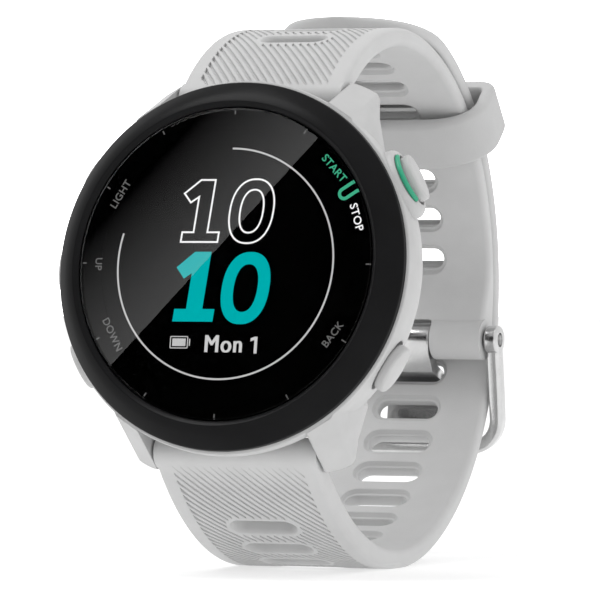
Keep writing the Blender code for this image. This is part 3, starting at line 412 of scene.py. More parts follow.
# the figure 1 with a slanting flag and a foot, in shares of its width and height
slabOne = {"stem": (-0.09, 0.31), "foot": (-0.38, 0.61), "sole": 0.18, "flagRoot": 0.195,
           "flagTip": (-0.49, 0.275), "flagUnder": (-0.265, 0.115)}


def digitOne(width, height):
    left, right = (x * width for x in slabOne["stem"])
    toe, heel = (x * width for x in slabOne["foot"])
    top = height / 2
    sole = slabOne["sole"] * height - top
    flag = [(x * width, y * height) for x, y in (slabOne["flagTip"], slabOne["flagUnder"])]
    return [(right, top), (left, top), *flag, (left, slabOne["flagRoot"] * height), (left, sole),
            (toe, sole), (toe, -top), (heel, -top), (heel, sole), (right, sole)]


def rounded(width, height, fullness=2.3, steps=72):
    points = []
    for t in np.linspace(0, 2 * math.pi, steps, endpoint=False):
        c = math.cos(t)
        n = math.sin(t)
        points.append((width / 2 * math.copysign(abs(c) ** (2 / fullness), c),
                       height / 2 * math.copysign(abs(n) ** (2 / fullness), n)))
    return points


def insetOutline(points, amount):
    # draws an outline in by an equal amount on all sides
    count = len(points)
    area = sum(points[i][0] * points[(i + 1) % count][1] - points[(i + 1) % count][0] * points[i][1]
               for i in range(count))
    sign = 1 if area > 0 else -1
    result = []
    for i in range(count):
        a = Vector(points[i - 1])
        b = Vector(points[i])
        c = Vector(points[(i + 1) % count])
        one = (b - a).normalized()
        two = (c - b).normalized()
        normalOne = Vector((-one.y, one.x)) * sign
        normalTwo = Vector((-two.y, two.x)) * sign
        middle = (normalOne + normalTwo).normalized()
        reach = amount / max(0.35, middle.dot(normalOne))
        result.append(tuple(b + middle * reach))
    return result


digits = {
    "upperOne": {"kind": "one", "centre": (-3.54, 6.0), "size": (4.75, 7.3), "look": "outline"},
    "upperNought": {"kind": "nought", "centre": (2.83, 5.98), "size": (5.5, 7.5), "look": "outline"},
    "lowerOne": {"kind": "one", "centre": (-3.66, -2.65), "size": (4.97, 7.96), "look": "solid"},
    "lowerNought": {"kind": "nought", "centre": (2.74, -2.78), "size": (5.8, 8.22), "look": "solid"},
}


def buildDigit(name, digit):
    width, height = digit["size"]
    if digit["kind"] == "one":
        shapes = [digitOne(width, height)]
    else:
        across, along = dial["noughtStroke"]
        shapes = [rounded(width, height), rounded(width - across, height - along)]
    if digit["look"] == "solid":
        return [flatPiece(name, [lean(s, digit["centre"]) for s in shapes], dialMm)]
    parts = []
    for k, outline in enumerate(shapes):
        pair = [outline, insetOutline(outline, dial["digitLine"] if k == 0 else -dial["digitLine"])]
        parts.append(flatPiece(f"{name}{k}", [lean(p, digit["centre"]) for p in pair], dialMm))
    return parts


def ringArc(radius, width, start, end, steps):
    return (arc((0, 0), radius + width / 2, start, end, steps)
            + arc((0, 0), radius - width / 2, end, start, steps))


def buildDial():
    ring = ringArc(dial["ringRadius"], dial["ringWidth"], *dial["ringSweep"], 160)
    show(merged("dialRing", [flatPiece("progressRing", [ring], dialMm)]), fixedBody, softGrey, "display")
    ticks = []
    for hour in range(12):
        if hour == dial["hourWithoutTick"]:
            continue
        turn = math.radians(90 - 30 * hour)
        out = Vector((math.cos(turn), math.sin(turn)))
        side = Vector((-out.y, out.x)) * dial["tickHalfWidth"]
        low = out * (dial["tickRadius"] - dial["tickReach"])
        high = out * (dial["tickRadius"] + dial["tickReach"])
        corners = [tuple(low - side), tuple(high - side), tuple(high + side), tuple(low + side)]
        ticks.append(flatPiece(f"tick{hour}", [corners], dialMm))
    show(merged("dialTicks", ticks), fixedBody, grey, "display")
    outlined = []
    solid = []
    for name, digit in digits.items():
        parts = buildDigit(name, digit)
        if digit["look"] == "outline":
            outlined += parts
        else:
            solid += parts
    show(merged("dialUpperDigits", outlined), fixedBody, white, "display")
    show(merged("dialLowerDigits", solid), fixedBody, teal, "display")


buildDial()
labels = {
    "labelLight": ("LIGHT", (-13.42, 7.9), 0.88, 60, grey),
    "labelUp": ("UP", (-15.6, -0.1), 0.85, -90, grey),
    "labelDown": ("DOWN", (-13.25, -8.2), 0.88, -60, grey),
    "labelStart": ("START", (12.49, 10.83), 0.92, -46, signGreen),
    "labelStop": ("STOP", (15.57, 5.3), 0.95, -71, white),
    "labelBack": ("BACK", (13.68, -8.0), 0.88, 54, grey),
}


day = {"text": "Mon", "centre": (0.51, -9.24), "height": 2.05, "stretch": 0.86, "spacing": 1.12,
       "bolden": 0.07, "number": (4.2, -9.24), "numberTop": 0.95, "numberStem": (0.07, 0.42), "flag": -0.4}
battery = {"centre": (-4.94, -9.0), "case": (2.2, 1.4), "wall": 0.1, "fill": (1.62, 0.86),
           "tipCentre": (-3.64, -9.0), "tip": (0.12, 0.8)}
startMark = {"centre": (13.92, 7.97), "turn": 33.0, "half": 0.56, "arm": 1.55, "stroke": 0.38}
border = {"inner": 15.3, "outer": 17.85, "top": -0.46, "base": -0.5}


def buildDay():
    # the word is drawn twice, side by side, to make its strokes bolder
    x, y = day["centre"]
    pieces = [word(f"day{k}", day["text"], (x + shift, y), day["height"], 0, stretch=day["stretch"],
                   spacing=day["spacing"]) for k, shift in enumerate((-day["bolden"], day["bolden"]))]
    left, right = day["numberStem"]
    top = day["numberTop"]
    one = [(right, top), (0.1, top), (day["flag"], 0.76), (day["flag"], 0.42), (left, 0.58),
           (left, -top), (right, -top)]
    pieces.append(flatPiece("dayNumber", [one], dialMm @ Matrix.Translation((*day["number"], 0))))
    return merged("labelDate", pieces)


def buildBattery():
    width, height = battery["case"]
    wall = 2 * battery["wall"]
    case = [roundedBox(width, height, 0.12, 3), roundedBox(width - wall, height - wall, 0.06, 3)]
    spot = dialMm @ Matrix.Translation((*battery["centre"], 0))
    tipSpot = dialMm @ Matrix.Translation((*battery["tipCentre"], 0))
    return merged("dialBattery", [flatPiece("batteryEdge", case, spot),
                                  flatPiece("batteryFill", [roundedBox(*battery["fill"], 0.05, 2)], spot),
                                  flatPiece("batteryTip", [roundedBox(*battery["tip"], 0.03, 2)], tipSpot)])


def buildStartMark():
    # a round-ended U
    outer = startMark["half"] + startMark["stroke"] / 2
    inner = startMark["half"] - startMark["stroke"] / 2
    arm = startMark["arm"]
    points = [(arm, outer), *arc((0, 0), outer, 90, 270, 18), (arm, -outer),
              (arm, -inner), *arc((0, 0), inner, 270, 90, 18), (arm, inner)]
    place = Matrix.Translation((*startMark["centre"], 0))
    turn = Matrix.Rotation(math.radians(startMark["turn"]), 4, "Z")
    return flatPiece("dialStartMark", [points], dialMm @ place @ turn)


def buildBorder():
    # black print between the display and the lens's edge
    profile = [(border["inner"], border["top"]), (border["outer"], border["top"]),
               (border["outer"], border["base"]), (border["inner"], border["base"])]
    return lathe("printedBorder", profile, 180, headMm)


for name, (text, centre, height, turn, glow) in labels.items():
    label = word(name, text, centre, height, turn, bold=0.012, spacing=1.06)
    show(label, fixedBody, glow, "display")
show(buildDay(), fixedBody, dateGlow, "display")
show(buildBattery(), fixedBody, softGrey, "display")
show(buildStartMark(), fixedBody, signGreen, "display")
show(buildBorder(), fixedBody, displayBlack, "black_plastic")
print("dial drawn")

# case
caseShape = {
    "radius": 21.4, "top": -2.3, "foot": -10.0, "cavity": 17.3, "rimHeight": 1.5, "pocketWall": 18.2,
    "sealLedge": 16.2, "sealTop": -7.4, "sealBase": -8.2, "coverRecess": 17.6,
    "side": [(21.15, -2.3), (21.33, -2.38), (21.4, -2.55), (21.38, -4.5), (21.2, -6.15), (20.98, -7.4),
             (20.7, -8.15), (20.25, -8.9), (19.7, -9.6), (19.3, -10.0)],   # radius and height, top down
}
lugShape = {
    "inside": 10.3, "thickness": 3.1, "tip": 22.3, "root": 11.3, "overlap": 0.1,
    "corner": 0.9, "waist": (0.2, 4.0), "hip": (1.1, 7.7), "back": 10.8, "innerBack": 6.7,
    "tipRound": 1.3, "tipLevel": -8.55, "shoulder": 0.89,
    "facetTurn": 58.0, "facetDrop": 25.4, "chamfer": 0.27,
}
buttons = {
    "light": {"turn": 150.0, "rise": 0.0}, "up": {"turn": 180.0, "rise": 0.0},
    "down": {"turn": 210.0, "rise": 0.0}, "start": {"turn": 28.0, "rise": 0.95},
    "back": {"turn": -30.0, "rise": 0.0},
}
cap = {"level": -5.5, "length": 5.7, "height": 3.4, "outer": 22.4, "inner": 21.1, "round": 0.34,
       "gap": 0.3, "depth": 0.9, "stem": 0.9, "stemEnd": 16.9, "stemBore": 1.2}
collar = {"length": 8.5, "height": 6.2, "root": 18.5, "round": 1.1}
accent = {"reach": 2.8, "halfLength": 3.2, "radius": 0.29, "groove": 0.36, "sink": 0.05,
          "sweep": (32, 148), "steps": 32}


def sideFrame(turn):
    aside = Matrix.Rotation(math.radians(turn), 4, "Z")
    return headMm @ Matrix.Translation((0, 0, cap["level"])) @ aside @ sideways


def cutFlat(target, name, point, facing):
    # cuts away all that lies beyond a plane
    block = Matrix.Translation(point) @ facing.to_track_quat("Z", "Y").to_matrix().to_4x4()
    carve(target, slab(name, roundedBox(40, 40, 1), 0, 10, headMm @ block))


def buildLug(xSide, ySide):
    g = lugShape
    top = caseShape["top"]
    foot = caseShape["foot"]
    radius = caseShape["radius"]
    inside = g["inside"]
    outside = inside + g["thickness"]
    end = g["tip"]
    corner = arc((outside - g["corner"], end - g["corner"]), g["corner"], 90, 10, 5)
    waist = (outside + g["waist"][0], end - g["waist"][1])
    plan = [(inside, end - g["innerBack"]), (inside, end), *corner, waist,
            (outside + g["hip"][0], end - g["hip"][1]), (outside, end - g["back"])]
    lug = slab("lug", [(xSide * x, ySide * y) for x, y in plan], foot, top - g["overlap"], headMm)
    tip = arc((end - g["tipRound"], g["tipLevel"]), g["tipRound"], 15, -90, 12)
    low = ySide * (end - g["root"])
    side = [(low, top - g["overlap"]), (ySide * radius * g["shoulder"], top - g["overlap"]),
            *[(ySide * y, z) for y, z in tip], (low, foot + g["overlap"])]
    carve(lug, slab("lugProfile", side, -22, 22, headMm @ sideways), "INTERSECT")
    turn = math.radians(g["facetTurn"])
    drop = math.radians(g["facetDrop"])
    touch = Vector((xSide * radius * math.cos(turn), ySide * radius * math.sin(turn), top))
    facing = Vector((xSide * math.cos(drop) * math.cos(turn), ySide * math.cos(drop) * math.sin(turn),
                     math.sin(drop)))
    cutFlat(lug, "facet", touch, facing)
    edge = Vector((xSide * waist[0], ySide * waist[1], 0.0))   # a point where facet and side meet
    edge.z = touch.z - (facing.x * (edge.x - touch.x) + facing.y * (edge.y - touch.y)) / facing.z
    between = (facing + Vector((xSide, 0, 0))).normalized()
    cutFlat(lug, "chamfer", edge - between * g["chamfer"], between)
    return lug


def buildRing():
    c = caseShape
    inside = [(c["coverRecess"], c["foot"]), (c["coverRecess"], c["sealBase"]),
              (c["sealLedge"], c["sealBase"]), (c["sealLedge"], c["sealTop"]),
              (c["cavity"], c["sealTop"]), (c["cavity"], c["top"])]
    return lathe("caseBody", c["side"] + inside, 180, headMm)


def buildCase():
    c = caseShape
    body = buildRing()
    for xSide in (1, -1):
        for ySide in (1, -1):
            carve(body, buildLug(xSide, ySide), "UNION")
    start = buttons["start"]
    brim = softSlab("collar", collar["root"], c["radius"] + start["rise"], collar["round"],
                    sideFrame(start["turn"]),
                    lambda inset: oval(collar["length"] - 2 * inset, collar["height"] - 2 * inset), 8)
    carve(body, brim, "UNION")
    wide = lugShape["inside"]
    under = c["top"] - c["rimHeight"]
    for ySide in (1, -1):
        low, high = sorted((ySide * c["pocketWall"], ySide * (lugShape["tip"] + 2)))
        carve(body, slab("strapPocket", oblong(-wide, wide, low, high), -16, under, headMm))
        place = Matrix.Translation((0, ySide * layout["barOffset"], layout["barLevel"]))
        reach = wide + 1.1
        carve(body, slab("barHole", disc(0.5, 24), -reach, reach, headMm @ place @ sideways))
    opening = oval(cap["length"] + 2 * cap["gap"], cap["height"] + 2 * cap["gap"])
    for name, button in buttons.items():
        matrix = sideFrame(button["turn"])
        depth = cap["inner"] + button["rise"] - cap["depth"]
        carve(body, slab(name + "Pocket", opening, depth, 26, matrix))
        carve(body, slab(name + "Bore", disc(cap["stemBore"], 24), 16, 24, matrix))
    carve(body, accentTube("accentGroove", accent["groove"]))
    return body


def accentTube(name, radius):
    # bent round bar with domed ends, lying in the collar's face around the button
    start = buttons["start"]
    level = caseShape["radius"] + start["rise"] - accent["sink"]
    last = accent["steps"]
    turns = np.radians(np.linspace(*accent["sweep"], last + 1))
    path = [Vector((accent["halfLength"] * math.cos(t), accent["reach"] * math.sin(t), level))
            for t in turns]
    stations = [(path[0], path[1] - path[0], -e, math.sqrt(1 - e * e)) for e in (0.98, 0.8, 0.5)]
    stations += [(p, path[min(k + 1, last)] - path[max(k - 1, 0)], 0, 1) for k, p in enumerate(path)]
    stations += [(path[-1], path[-1] - path[-2], e, math.sqrt(1 - e * e)) for e in (0.5, 0.8, 0.98)]
    out = Vector((0, 0, 1))
    rings = []
    for point, along, shift, scale in stations:
        along = along.normalized()
        side = along.cross(out).normalized()
        centre = point + along * shift * radius
        rings.append([centre + (side * math.cos(a) + out * math.sin(a)) * radius * scale
                      for a in np.linspace(0, 2 * math.pi, 16, endpoint=False)])
    return loft(name, rings, sideFrame(start["turn"]), 50)


show(buildCase(), fixedBody, palePlastic, "pale_plastic", "case_body")
show(accentTube("startAccent", accent["radius"]), fixedBody, greenPlastic, "green_accent", "start_accent")


def buildCap(name, button):
    rise = button["rise"]
    matrix = sideFrame(button["turn"])
    body = softSlab(name, cap["inner"] + rise, cap["outer"] + rise, cap["round"], matrix,
                    lambda inset: oval(cap["length"] - 2 * inset, cap["height"] - 2 * inset), 5)
    stem = slab("stem", disc(cap["stem"], 24), cap["stemEnd"], cap["inner"] + rise + 0.5, matrix)
    return carve(body, stem, "UNION")


for name, button in buttons.items():
    show(buildCap(name + "Cap", button), name + "_button", palePlastic, "pale_plastic", name + "_button")
print("case and buttons built")

# strap
strap = {
    "thickness": 1.9, "caseEnd": 2.5, "lowerThickness": 1.75, "fullness": 1.1, "corner": 0.7,
    "lift": 0.65, "lugKnuckle": 1.9, "buckleKnuckle": 2.4, "tailTip": 84.3,
    "barBore": 1.05, "notch": (7.2, 9.0, 0.7), "restFlat": (24, 16),
    "release": 5.75, "releaseWindow": (1.65, 0.9),
}
slots = {
    "length": 7.7, "width": 2.3, "upperPitch": 5.125, "lowerPitch": 5.022, "tongueSlot": -21.05,
    "upperRange": (5.9, 109.0), "lowerRange": (-125.0, 73.5),   # degrees
    "recess": 0.55, "floor": 0.62,    # step on the wrist side: how much wider, and where it starts
}
grooves = {
    "pitch": 1.2, "slope": 1.28, "half": 8.0, "width": 0.36, "depth": 0.26, "clear": 0.72,
    "endWidth": 0.5, "endDepth": 0.42, "faint": 0.12, "shortest": 6,
    "upperSpan": (4.0, 129.6, 1.0), "lowerSpan": (-142.4, 68.0, 6.0), "startFade": 6.0,   # degrees
}


def smoothThrough(stations):
    # smooth curve through stations whose first number is the angle
    table = np.array(sorted(stations), dtype=float)
    knots = table[:, 0]
    values = table[:, 1:]
    slopes = np.gradient(values, knots, axis=0)

    def read(angle):
        i = int(np.clip(np.searchsorted(knots, angle) - 1, 0, len(knots) - 2))
        span = knots[i + 1] - knots[i]
        t = (angle - knots[i]) / span
        before = (2 * t ** 3 - 3 * t ** 2 + 1) * values[i] + (t ** 3 - 2 * t ** 2 + t) * span * slopes[i]
        after = (3 * t ** 2 - 2 * t ** 3) * values[i + 1] + (t ** 3 - t ** 2) * span * slopes[i + 1]
        return before + after

    return read


def barPolar(side):
    spot = headMatrix @ (Vector((0.0, side * layout["barOffset"], layout["barLevel"])) * mm) - loopCentre
    return math.degrees(math.atan2(spot.z, spot.y)), math.hypot(spot.y, spot.z) / mm


upperBar, upperBarRadius = barPolar(1)
lowerBar, lowerBarRadius = barPolar(-1)
rUp = layout["upperRadius"]
rLow = layout["lowerRadius"]
full = rLow + strap["fullness"]
# angle, radius and thickness along each half
upperLine = smoothThrough([
    (upperBar, upperBarRadius + strap["lift"], strap["caseEnd"]), (118.0, rUp + 0.2, strap["caseEnd"]),
    (95.0, rUp + 0.25, strap["thickness"] + 0.3), (70.0, rUp, strap["thickness"]),
    (45.0, rUp, strap["thickness"]), (20.0, rUp, strap["thickness"]), (2.0, rUp, strap["thickness"]),
    (layout["pinDegrees"] + 7, rUp - 0.75, strap["thickness"] + 1.4),
    (layout["pinDegrees"], layout["pinRadius"] + 0.3, strap["buckleKnuckle"] * 1.7),
])
lowerLine = smoothThrough([
    (lowerBar, lowerBarRadius + strap["lift"], strap["caseEnd"]), (-132.0, full, strap["caseEnd"]),
    (-110.0, full, strap["caseEnd"] - 0.1), (-90.0, full - 0.1, strap["caseEnd"] - 0.2),
    (-60.0, rLow + 0.35, strap["lowerThickness"] + 0.4),
    (-35.0, rLow + 0.1, strap["lowerThickness"] + 0.2),
    (-12.0, rLow, strap["lowerThickness"]), (30.0, rLow, strap["lowerThickness"]),
    (strap["tailTip"], rLow, strap["lowerThickness"]),
])


def strapRing(angle, radius, thickness, halfWidth):
    corner = min(strap["corner"], 0.45 * thickness, 0.45 * halfWidth)
    return [loopPoint(angle, radius + rise, x)
            for x, rise in roundedBox(2 * halfWidth, thickness, corner, 5)]


def slotCutter(angle, line):
    # slot with a flared soft rim outside and a wider stepped recess on the wrist side
    radius, thickness = line(angle)
    high = thickness / 2
    step = slots["floor"] - high
    levels = [(high + 0.7, 0.6), (high + 0.02, 0.33), (high - 0.12, 0.18), (high - 0.34, 0.05),
              (high - 0.55, 0.0), (step, 0.0), (step - 0.12, 0.06), (step - 0.2, 0.3), (step - 0.34, 0.4),
              (step - 0.6, slots["recess"]), (-high - 0.8, slots["recess"] + 0.5)]
    rings = []
    for z, grow in levels:
        outline = stadium(slots["length"] + 2 * grow, slots["width"] + 2 * grow, 12)
        rings.append([(x, y, z) for x, y in outline])
    return loft("slot", rings, loopMatrix(angle, radius))


def grooveRuns(middle, slotAngles, span, perMm):
    # the stretches of one slanting groove, which stops short of every slot's rim
    runs = [[]]
    for x in np.linspace(-grooves["half"], grooves["half"], 161):
        angle = middle + grooves["slope"] * x * perMm
        keep = span[0] < angle < span[1]
        aside = max(0.0, abs(x) - (slots["length"] - slots["width"]) / 2)
        for slotAngle in slotAngles:
            if math.hypot(aside, (angle - slotAngle) / perMm) < slots["width"] / 2 + grooves["clear"]:
                keep = False
        if keep:
            runs[-1].append((x, angle))
        elif runs[-1]:
            runs.append([])
    return [run for run in runs if len(run) >= grooves["shortest"]]


def grooveFade(angle, span):
    # grooves grow shallow towards both ends of the strap
    start, end, endFade = span
    fade = 1.0
    if angle < start + grooves["startFade"]:
        fade = max(grooves["faint"], (angle - start) / grooves["startFade"])
    if angle > end - endFade:
        fade = min(fade, max(grooves["faint"], (end - angle) / endFade))
    return fade


def grooveRings(run, line, span, perMm):
    # V-shaped bar that follows the bend, deeper where a groove starts at the strap's side
    fromSide = run[0][0] < -grooves["half"] + 0.05
    rings = []
    for k, (x, angle) in enumerate(run):
        if k % 8 and k not in (3, 5, 6, len(run) - 1):
            continue
        radius, thickness = line(angle)
        fade = grooveFade(angle, span)
        deep = fromSide and k <= 3
        depth = (grooves["endDepth"] if deep else grooves["depth"]) * fade
        half = (grooves["endWidth"] if deep else grooves["width"]) / 2 * (0.5 + 0.5 * fade)
        face = radius + thickness / 2
        side = half / math.cos(math.atan(grooves["slope"])) * perMm
        rings.append([loopPoint(angle - side, face + 0.15, x), loopPoint(angle + side, face + 0.15, x),
                      loopPoint(angle + side * 0.75, face - depth * 0.6, x),
                      loopPoint(angle, face - depth, x),
                      loopPoint(angle - side * 0.75, face - depth * 0.6, x)])
    return rings


def cutGrooves(target, line, slotAngles, span, radiusForPitch):
    perMm = math.degrees(1 / radiusForPitch)
    reach = grooves["half"] * grooves["slope"] * perMm
    shape = bmesh.new()
    for middle in np.arange(span[0] - reach, span[1] + reach, grooves["pitch"] * perMm):
        for run in grooveRuns(middle, slotAngles, span, perMm):
            loftInto(shape, grooveRings(run, line, span, perMm))
    carve(target, makeObject("grooveCutters", shape))


def cylinder(name, point, radius, half, steps=64):
    return slab(name, disc(radius, steps), -half, half, acrossMatrix(point))


def barCutters(target, side, point):
    carve(target, cylinder("barBore", point, strap["barBore"], layout["halfStrap"] + 1, 32))
    place = Matrix.Translation((strap["release"], side * layout["barOffset"], layout["barLevel"]))
    across, along = strap["releaseWindow"]
    carve(target, slab("releaseWindow", oblong(-across, across, -along, along), -4, 0, headMm @ place))


def buildUpperStrap():
    half = layout["halfStrap"]
    angles = np.linspace(upperBar, layout["pinDegrees"], 150)
    body = loft("upperStrapBody", [strapRing(a, *upperLine(a), half) for a in angles])
    pin = loopPoint(layout["pinDegrees"], layout["pinRadius"])
    bar = loopPoint(upperBar, upperBarRadius)
    carve(body, cylinder("lugKnuckle", bar, strap["lugKnuckle"], half), "UNION")
    carve(body, cylinder("buckleKnuckle", pin, strap["buckleKnuckle"], half), "UNION")
    slotAngles = np.arange(*slots["upperRange"], math.degrees(slots["upperPitch"] / rUp))
    cutGrooves(body, upperLine, slotAngles, grooves["upperSpan"], rUp)
    for angle in slotAngles:
        carve(body, slotCutter(angle, upperLine))
    carve(body, cylinder("pinBore", pin, strap["barBore"], half + 2, 32))
    width, height, corner = strap["notch"]
    middle = pin + Vector((0, 0, (strap["buckleKnuckle"] - height / 2) * mm))
    upright = Matrix.Translation(middle) @ Matrix.Rotation(math.pi / 2, 4, "X") @ Matrix.Scale(mm, 4)
    carve(body, slab("tongueNotch", roundedBox(width, height, corner), -5, 5, upright))
    barCutters(body, 1, bar)
    return body


def buildLowerStrap():
    half = layout["halfStrap"]
    tip = math.degrees(half / rLow)
    angles = list(np.linspace(lowerBar, strap["tailTip"] - tip, 220))
    rings = [strapRing(a, *lowerLine(a), half) for a in angles]
    for step in (8, 16, 24, 32, 40, 48, 56, 64, 71, 77, 82, 86):   # degrees round the tail's end
        turn = math.radians(step)
        angle = strap["tailTip"] - tip * (1 - math.sin(turn))
        rings.append(strapRing(angle, *lowerLine(angle), half * math.cos(turn)))
    body = loft("lowerStrapBody", rings)
    bar = loopPoint(lowerBar, lowerBarRadius)
    carve(body, cylinder("lugKnuckle", bar, strap["lugKnuckle"], half), "UNION")
    step = math.degrees(slots["lowerPitch"] / rLow)
    start, end = slots["lowerRange"]
    first = slots["tongueSlot"] - step * math.floor((slots["tongueSlot"] - start) / step)
    slotAngles = np.arange(first, end, step)
    cutGrooves(body, lowerLine, slotAngles, grooves["lowerSpan"], rLow + 0.9)
    for angle in slotAngles:
        carve(body, slotCutter(angle, lowerLine))
    x, y = (size / 2 for size in strap["restFlat"])
    carve(body, slab("restFlat", oblong(-x, x, -y, y), -2, 0, Matrix.Scale(mm, 4)))
    barCutters(body, -1, bar)
    return body


show(buildUpperStrap(), fixedBody, paleSilicone, "pale_silicone", "upper_strap")
print("upper strap built")
show(buildLowerStrap(), fixedBody, paleSilicone, "pale_silicone", "lower_strap")
print("lower strap built")

# keeper
keeper = {
    "angle": 40.0, "half": 3.5, "room": 11.0, "wall": 1.4, "floor": 26.5, "roof": 32.2,
    "floorWall": 1.5, "roofWall": 1.8, "bilge": 6.2, "round": 0.85, "flare": 0.3,
    "outer": {"rise": 0.56, "fullness": 2.0, "corner": 1.6},
    "inner": {"rise": 0.63, "fullness": 2.5, "corner": 0.6},
}


def keeperSection(side, floor, roof, bilge, look, shrink):
    # sagging underside, upright sides and a flat roof
    corner = look["corner"]
    drop = (roof - floor) * look["rise"]
    right = []
    for t in np.linspace(0, math.pi / 2, 24):
        bulge = math.sin(t) ** (2 / look["fullness"])
        sag = math.cos(t) ** (2 / look["fullness"])
        right.append((side - bilge + bilge * bulge - shrink * math.sin(t),
                      floor + drop - drop * sag + shrink * math.cos(t)))
    right += arc((side - corner - shrink, roof - corner - shrink), corner, 0, 90, 6)
    return right + [(-x, radius) for x, radius in reversed(right)]


def keeperLoft(name, levels, side, floor, roof, bilge, look, matrix):
    rings = [[(x, y, z) for x, y in keeperSection(side, floor, roof, bilge, look, shrink)]
             for z, shrink in levels]
    return loft(name, rings, matrix)


def buildKeeper():
    k = keeper
    columns = Matrix((Vector((1, 0, 0)), outward(k["angle"]), -outward(k["angle"] + 90)))
    axes = columns.transposed().to_4x4()
    axes.translation = loopCentre
    matrix = axes @ Matrix.Scale(mm, 4)
    turns = np.radians(np.linspace(0, 90, 7))
    levels = [(-k["half"] + k["round"] * (1 - math.cos(t)), k["round"] * (1 - math.sin(t))) for t in turns]
    levels += [(-z, shrink) for z, shrink in reversed(levels)]
    body = keeperLoft("keeperLoop", levels, k["room"] + k["wall"], k["floor"] - k["floorWall"],
                      k["roof"] + k["roofWall"], k["bilge"] + k["wall"], k["outer"], matrix)
    through = [(-k["half"] - 1, k["round"]), *levels, (k["half"] + 1, k["round"])]
    flared = [(z, -shrink * k["flare"]) for z, shrink in through]
    opening = keeperLoft("keeperOpening", flared, k["room"], k["floor"], k["roof"], k["bilge"],
                         k["inner"], matrix)
    return carve(body, opening)


# the keeper wears the darker copy of the strap silicone, whose darkening is painted shade
show(buildKeeper(), "strap_keeper", shadedKeeperSilicone, "pale_silicone", "strap_keeper")

# buckle
buckle = {
    "side": 1.6, "depth": 2.0, "eye": 1.7, "eyeRound": 0.3, "corner": 4.2, "bow": 0.2, "soft": 0.45,
    "barAngle": -35.4, "barRadius": 34.2, "pinBore": 0.85, "pin": 0.75, "pinRound": 0.15, "pinSink": 0.4,
    "gap": 0.3,
}
tongue = {"thick": 1.3, "neck": 6.6, "plate": 7.8, "barrel": 1.85, "bore": 1.05, "round": 0.25,
          "past": 0.9, "edge": 0.22, "clear": 0.7}
pinPlace = loopPoint(layout["pinDegrees"], layout["pinRadius"])
toBar = (loopPoint(buckle["barAngle"], buckle["barRadius"]) - pinPlace) / mm
frameReach = toBar.length
frameLean = math.atan2(toBar.y, -toBar.z)
frameInside = layout["halfStrap"] + buckle["gap"]
frameOutside = frameInside + buckle["side"]


def bowPath(offset, corner):
    # middle line of the U-shaped frame, offset outwards, from one arm's eye to the other
    x = (frameInside + frameOutside) / 2 + offset
    low = frameReach + offset
    corner = corner + offset
    right = [(x, (corner - low) * k / 10) for k in range(10)]
    right += arc((x - corner, corner - low), corner, 0, -90, 14)
    return right + [(-px, py) for px, py in reversed(right)]


def buildFrame():
    # loft of a soft-edged oblong section along the U
    section = roundedBox(buckle["side"], buckle["depth"], buckle["soft"], 5)
    middle = buckle["corner"] - buckle["side"] / 2
    rings = []
    sides = [bowPath(across, middle) for across, up in section]
    for k in range(len(sides[0])):
        ring = []
        for (across, up), side in zip(section, sides):
            x, y = side[k]
            partWay = min(-y / frameReach, 1.0)
            bow = buckle["bow"] * 4 * partWay * (1 - partWay)
            ring.append((x, y, up - bow))
        rings.append(ring)
    tilt = Matrix.Rotation(math.pi / 2 + frameLean, 4, "X")
    body = loft("buckleFrame", rings, Matrix.Translation(pinPlace) @ tilt @ Matrix.Scale(mm, 4))
    for side in (1, -1):
        low, high = sorted((side * frameInside, side * frameOutside))
        eye = softSlab("eye", low, high, buckle["eyeRound"], acrossMatrix(pinPlace),
                       lambda inset: disc(buckle["eye"] - inset, 60))
        carve(body, eye, "UNION")
    carve(body, cylinder("pinHole", pinPlace, buckle["pinBore"], 14, 40))
    return body


def slotSpot(out, along):
    # a point seen from the tongue's slot: outwards through it, and along the strap
    middle = loopPoint(slots["tongueSlot"], rLow) - pinPlace
    spot = middle / mm + outward(slots["tongueSlot"]) * out + outward(slots["tongueSlot"] + 90) * along
    return spot.y, spot.z


def buildTongue():
    thick = tongue["thick"]
    barrel = tongue["barrel"]
    reach = Vector((0, buckle["depth"] / 2 + buckle["gap"], -frameReach))
    face = Matrix.Rotation(frameLean, 3, "X") @ reach   # where the plate rests on the frame's bar
    low = -thick / 2 - 0.1
    high = thick / 2 - 0.1
    through = strap["lowerThickness"] / 2 + tongue["clear"]
    neck = [(-barrel, 0.0), (0.1 - barrel, -1.8), slotSpot(-2.6, low), slotSpot(through + 0.5, low + 0.1),
            slotSpot(through + 0.5, high - 0.1), slotSpot(-1.4, high), (0.2, 0.1 - barrel)]
    end = face.z - tongue["past"]
    plate = [slotSpot(through, low), (face.y, face.z + 2.6), (face.y, end), (face.y + thick * 0.7, end),
             (face.y + thick * 0.8, face.z + 3.0), slotSpot(through + thick, high - 0.2),
             slotSpot(through, high)]
    matrix = acrossMatrix(pinPlace)
    half = tongue["neck"] / 2
    body = softSlab("buckleTongue", -half, half, tongue["round"], matrix,
                    lambda inset: disc(barrel - inset, 60))
    carve(body, slab("neck", neck, -half, half, matrix), "UNION")
    carve(body, slab("plate", plate, -tongue["plate"] / 2, tongue["plate"] / 2, matrix), "UNION")
    carve(body, cylinder("tongueBore", pinPlace, tongue["bore"], 10, 32))
    edges = body.modifiers.new("edges", "BEVEL")
    edges.width = tongue["edge"] * mm
    edges.segments = 2
    edges.limit_method = "ANGLE"
    edges.angle_limit = math.radians(40)
    return body


def buildPin():
    end = frameOutside - buckle["pinSink"]
    return softSlab("bucklePin", -end, end, buckle["pinRound"], acrossMatrix(pinPlace),
                    lambda inset: disc(buckle["pin"] - inset, 36))


show(buildFrame(), "buckle_frame", steel, "steel", "buckle_frame")
show(buildPin(), "buckle_frame", steel, "steel", "buckle_pin")
show(buildTongue(), "buckle_tongue", steel, "steel", "buckle_tongue")
print("keeper and buckle built")

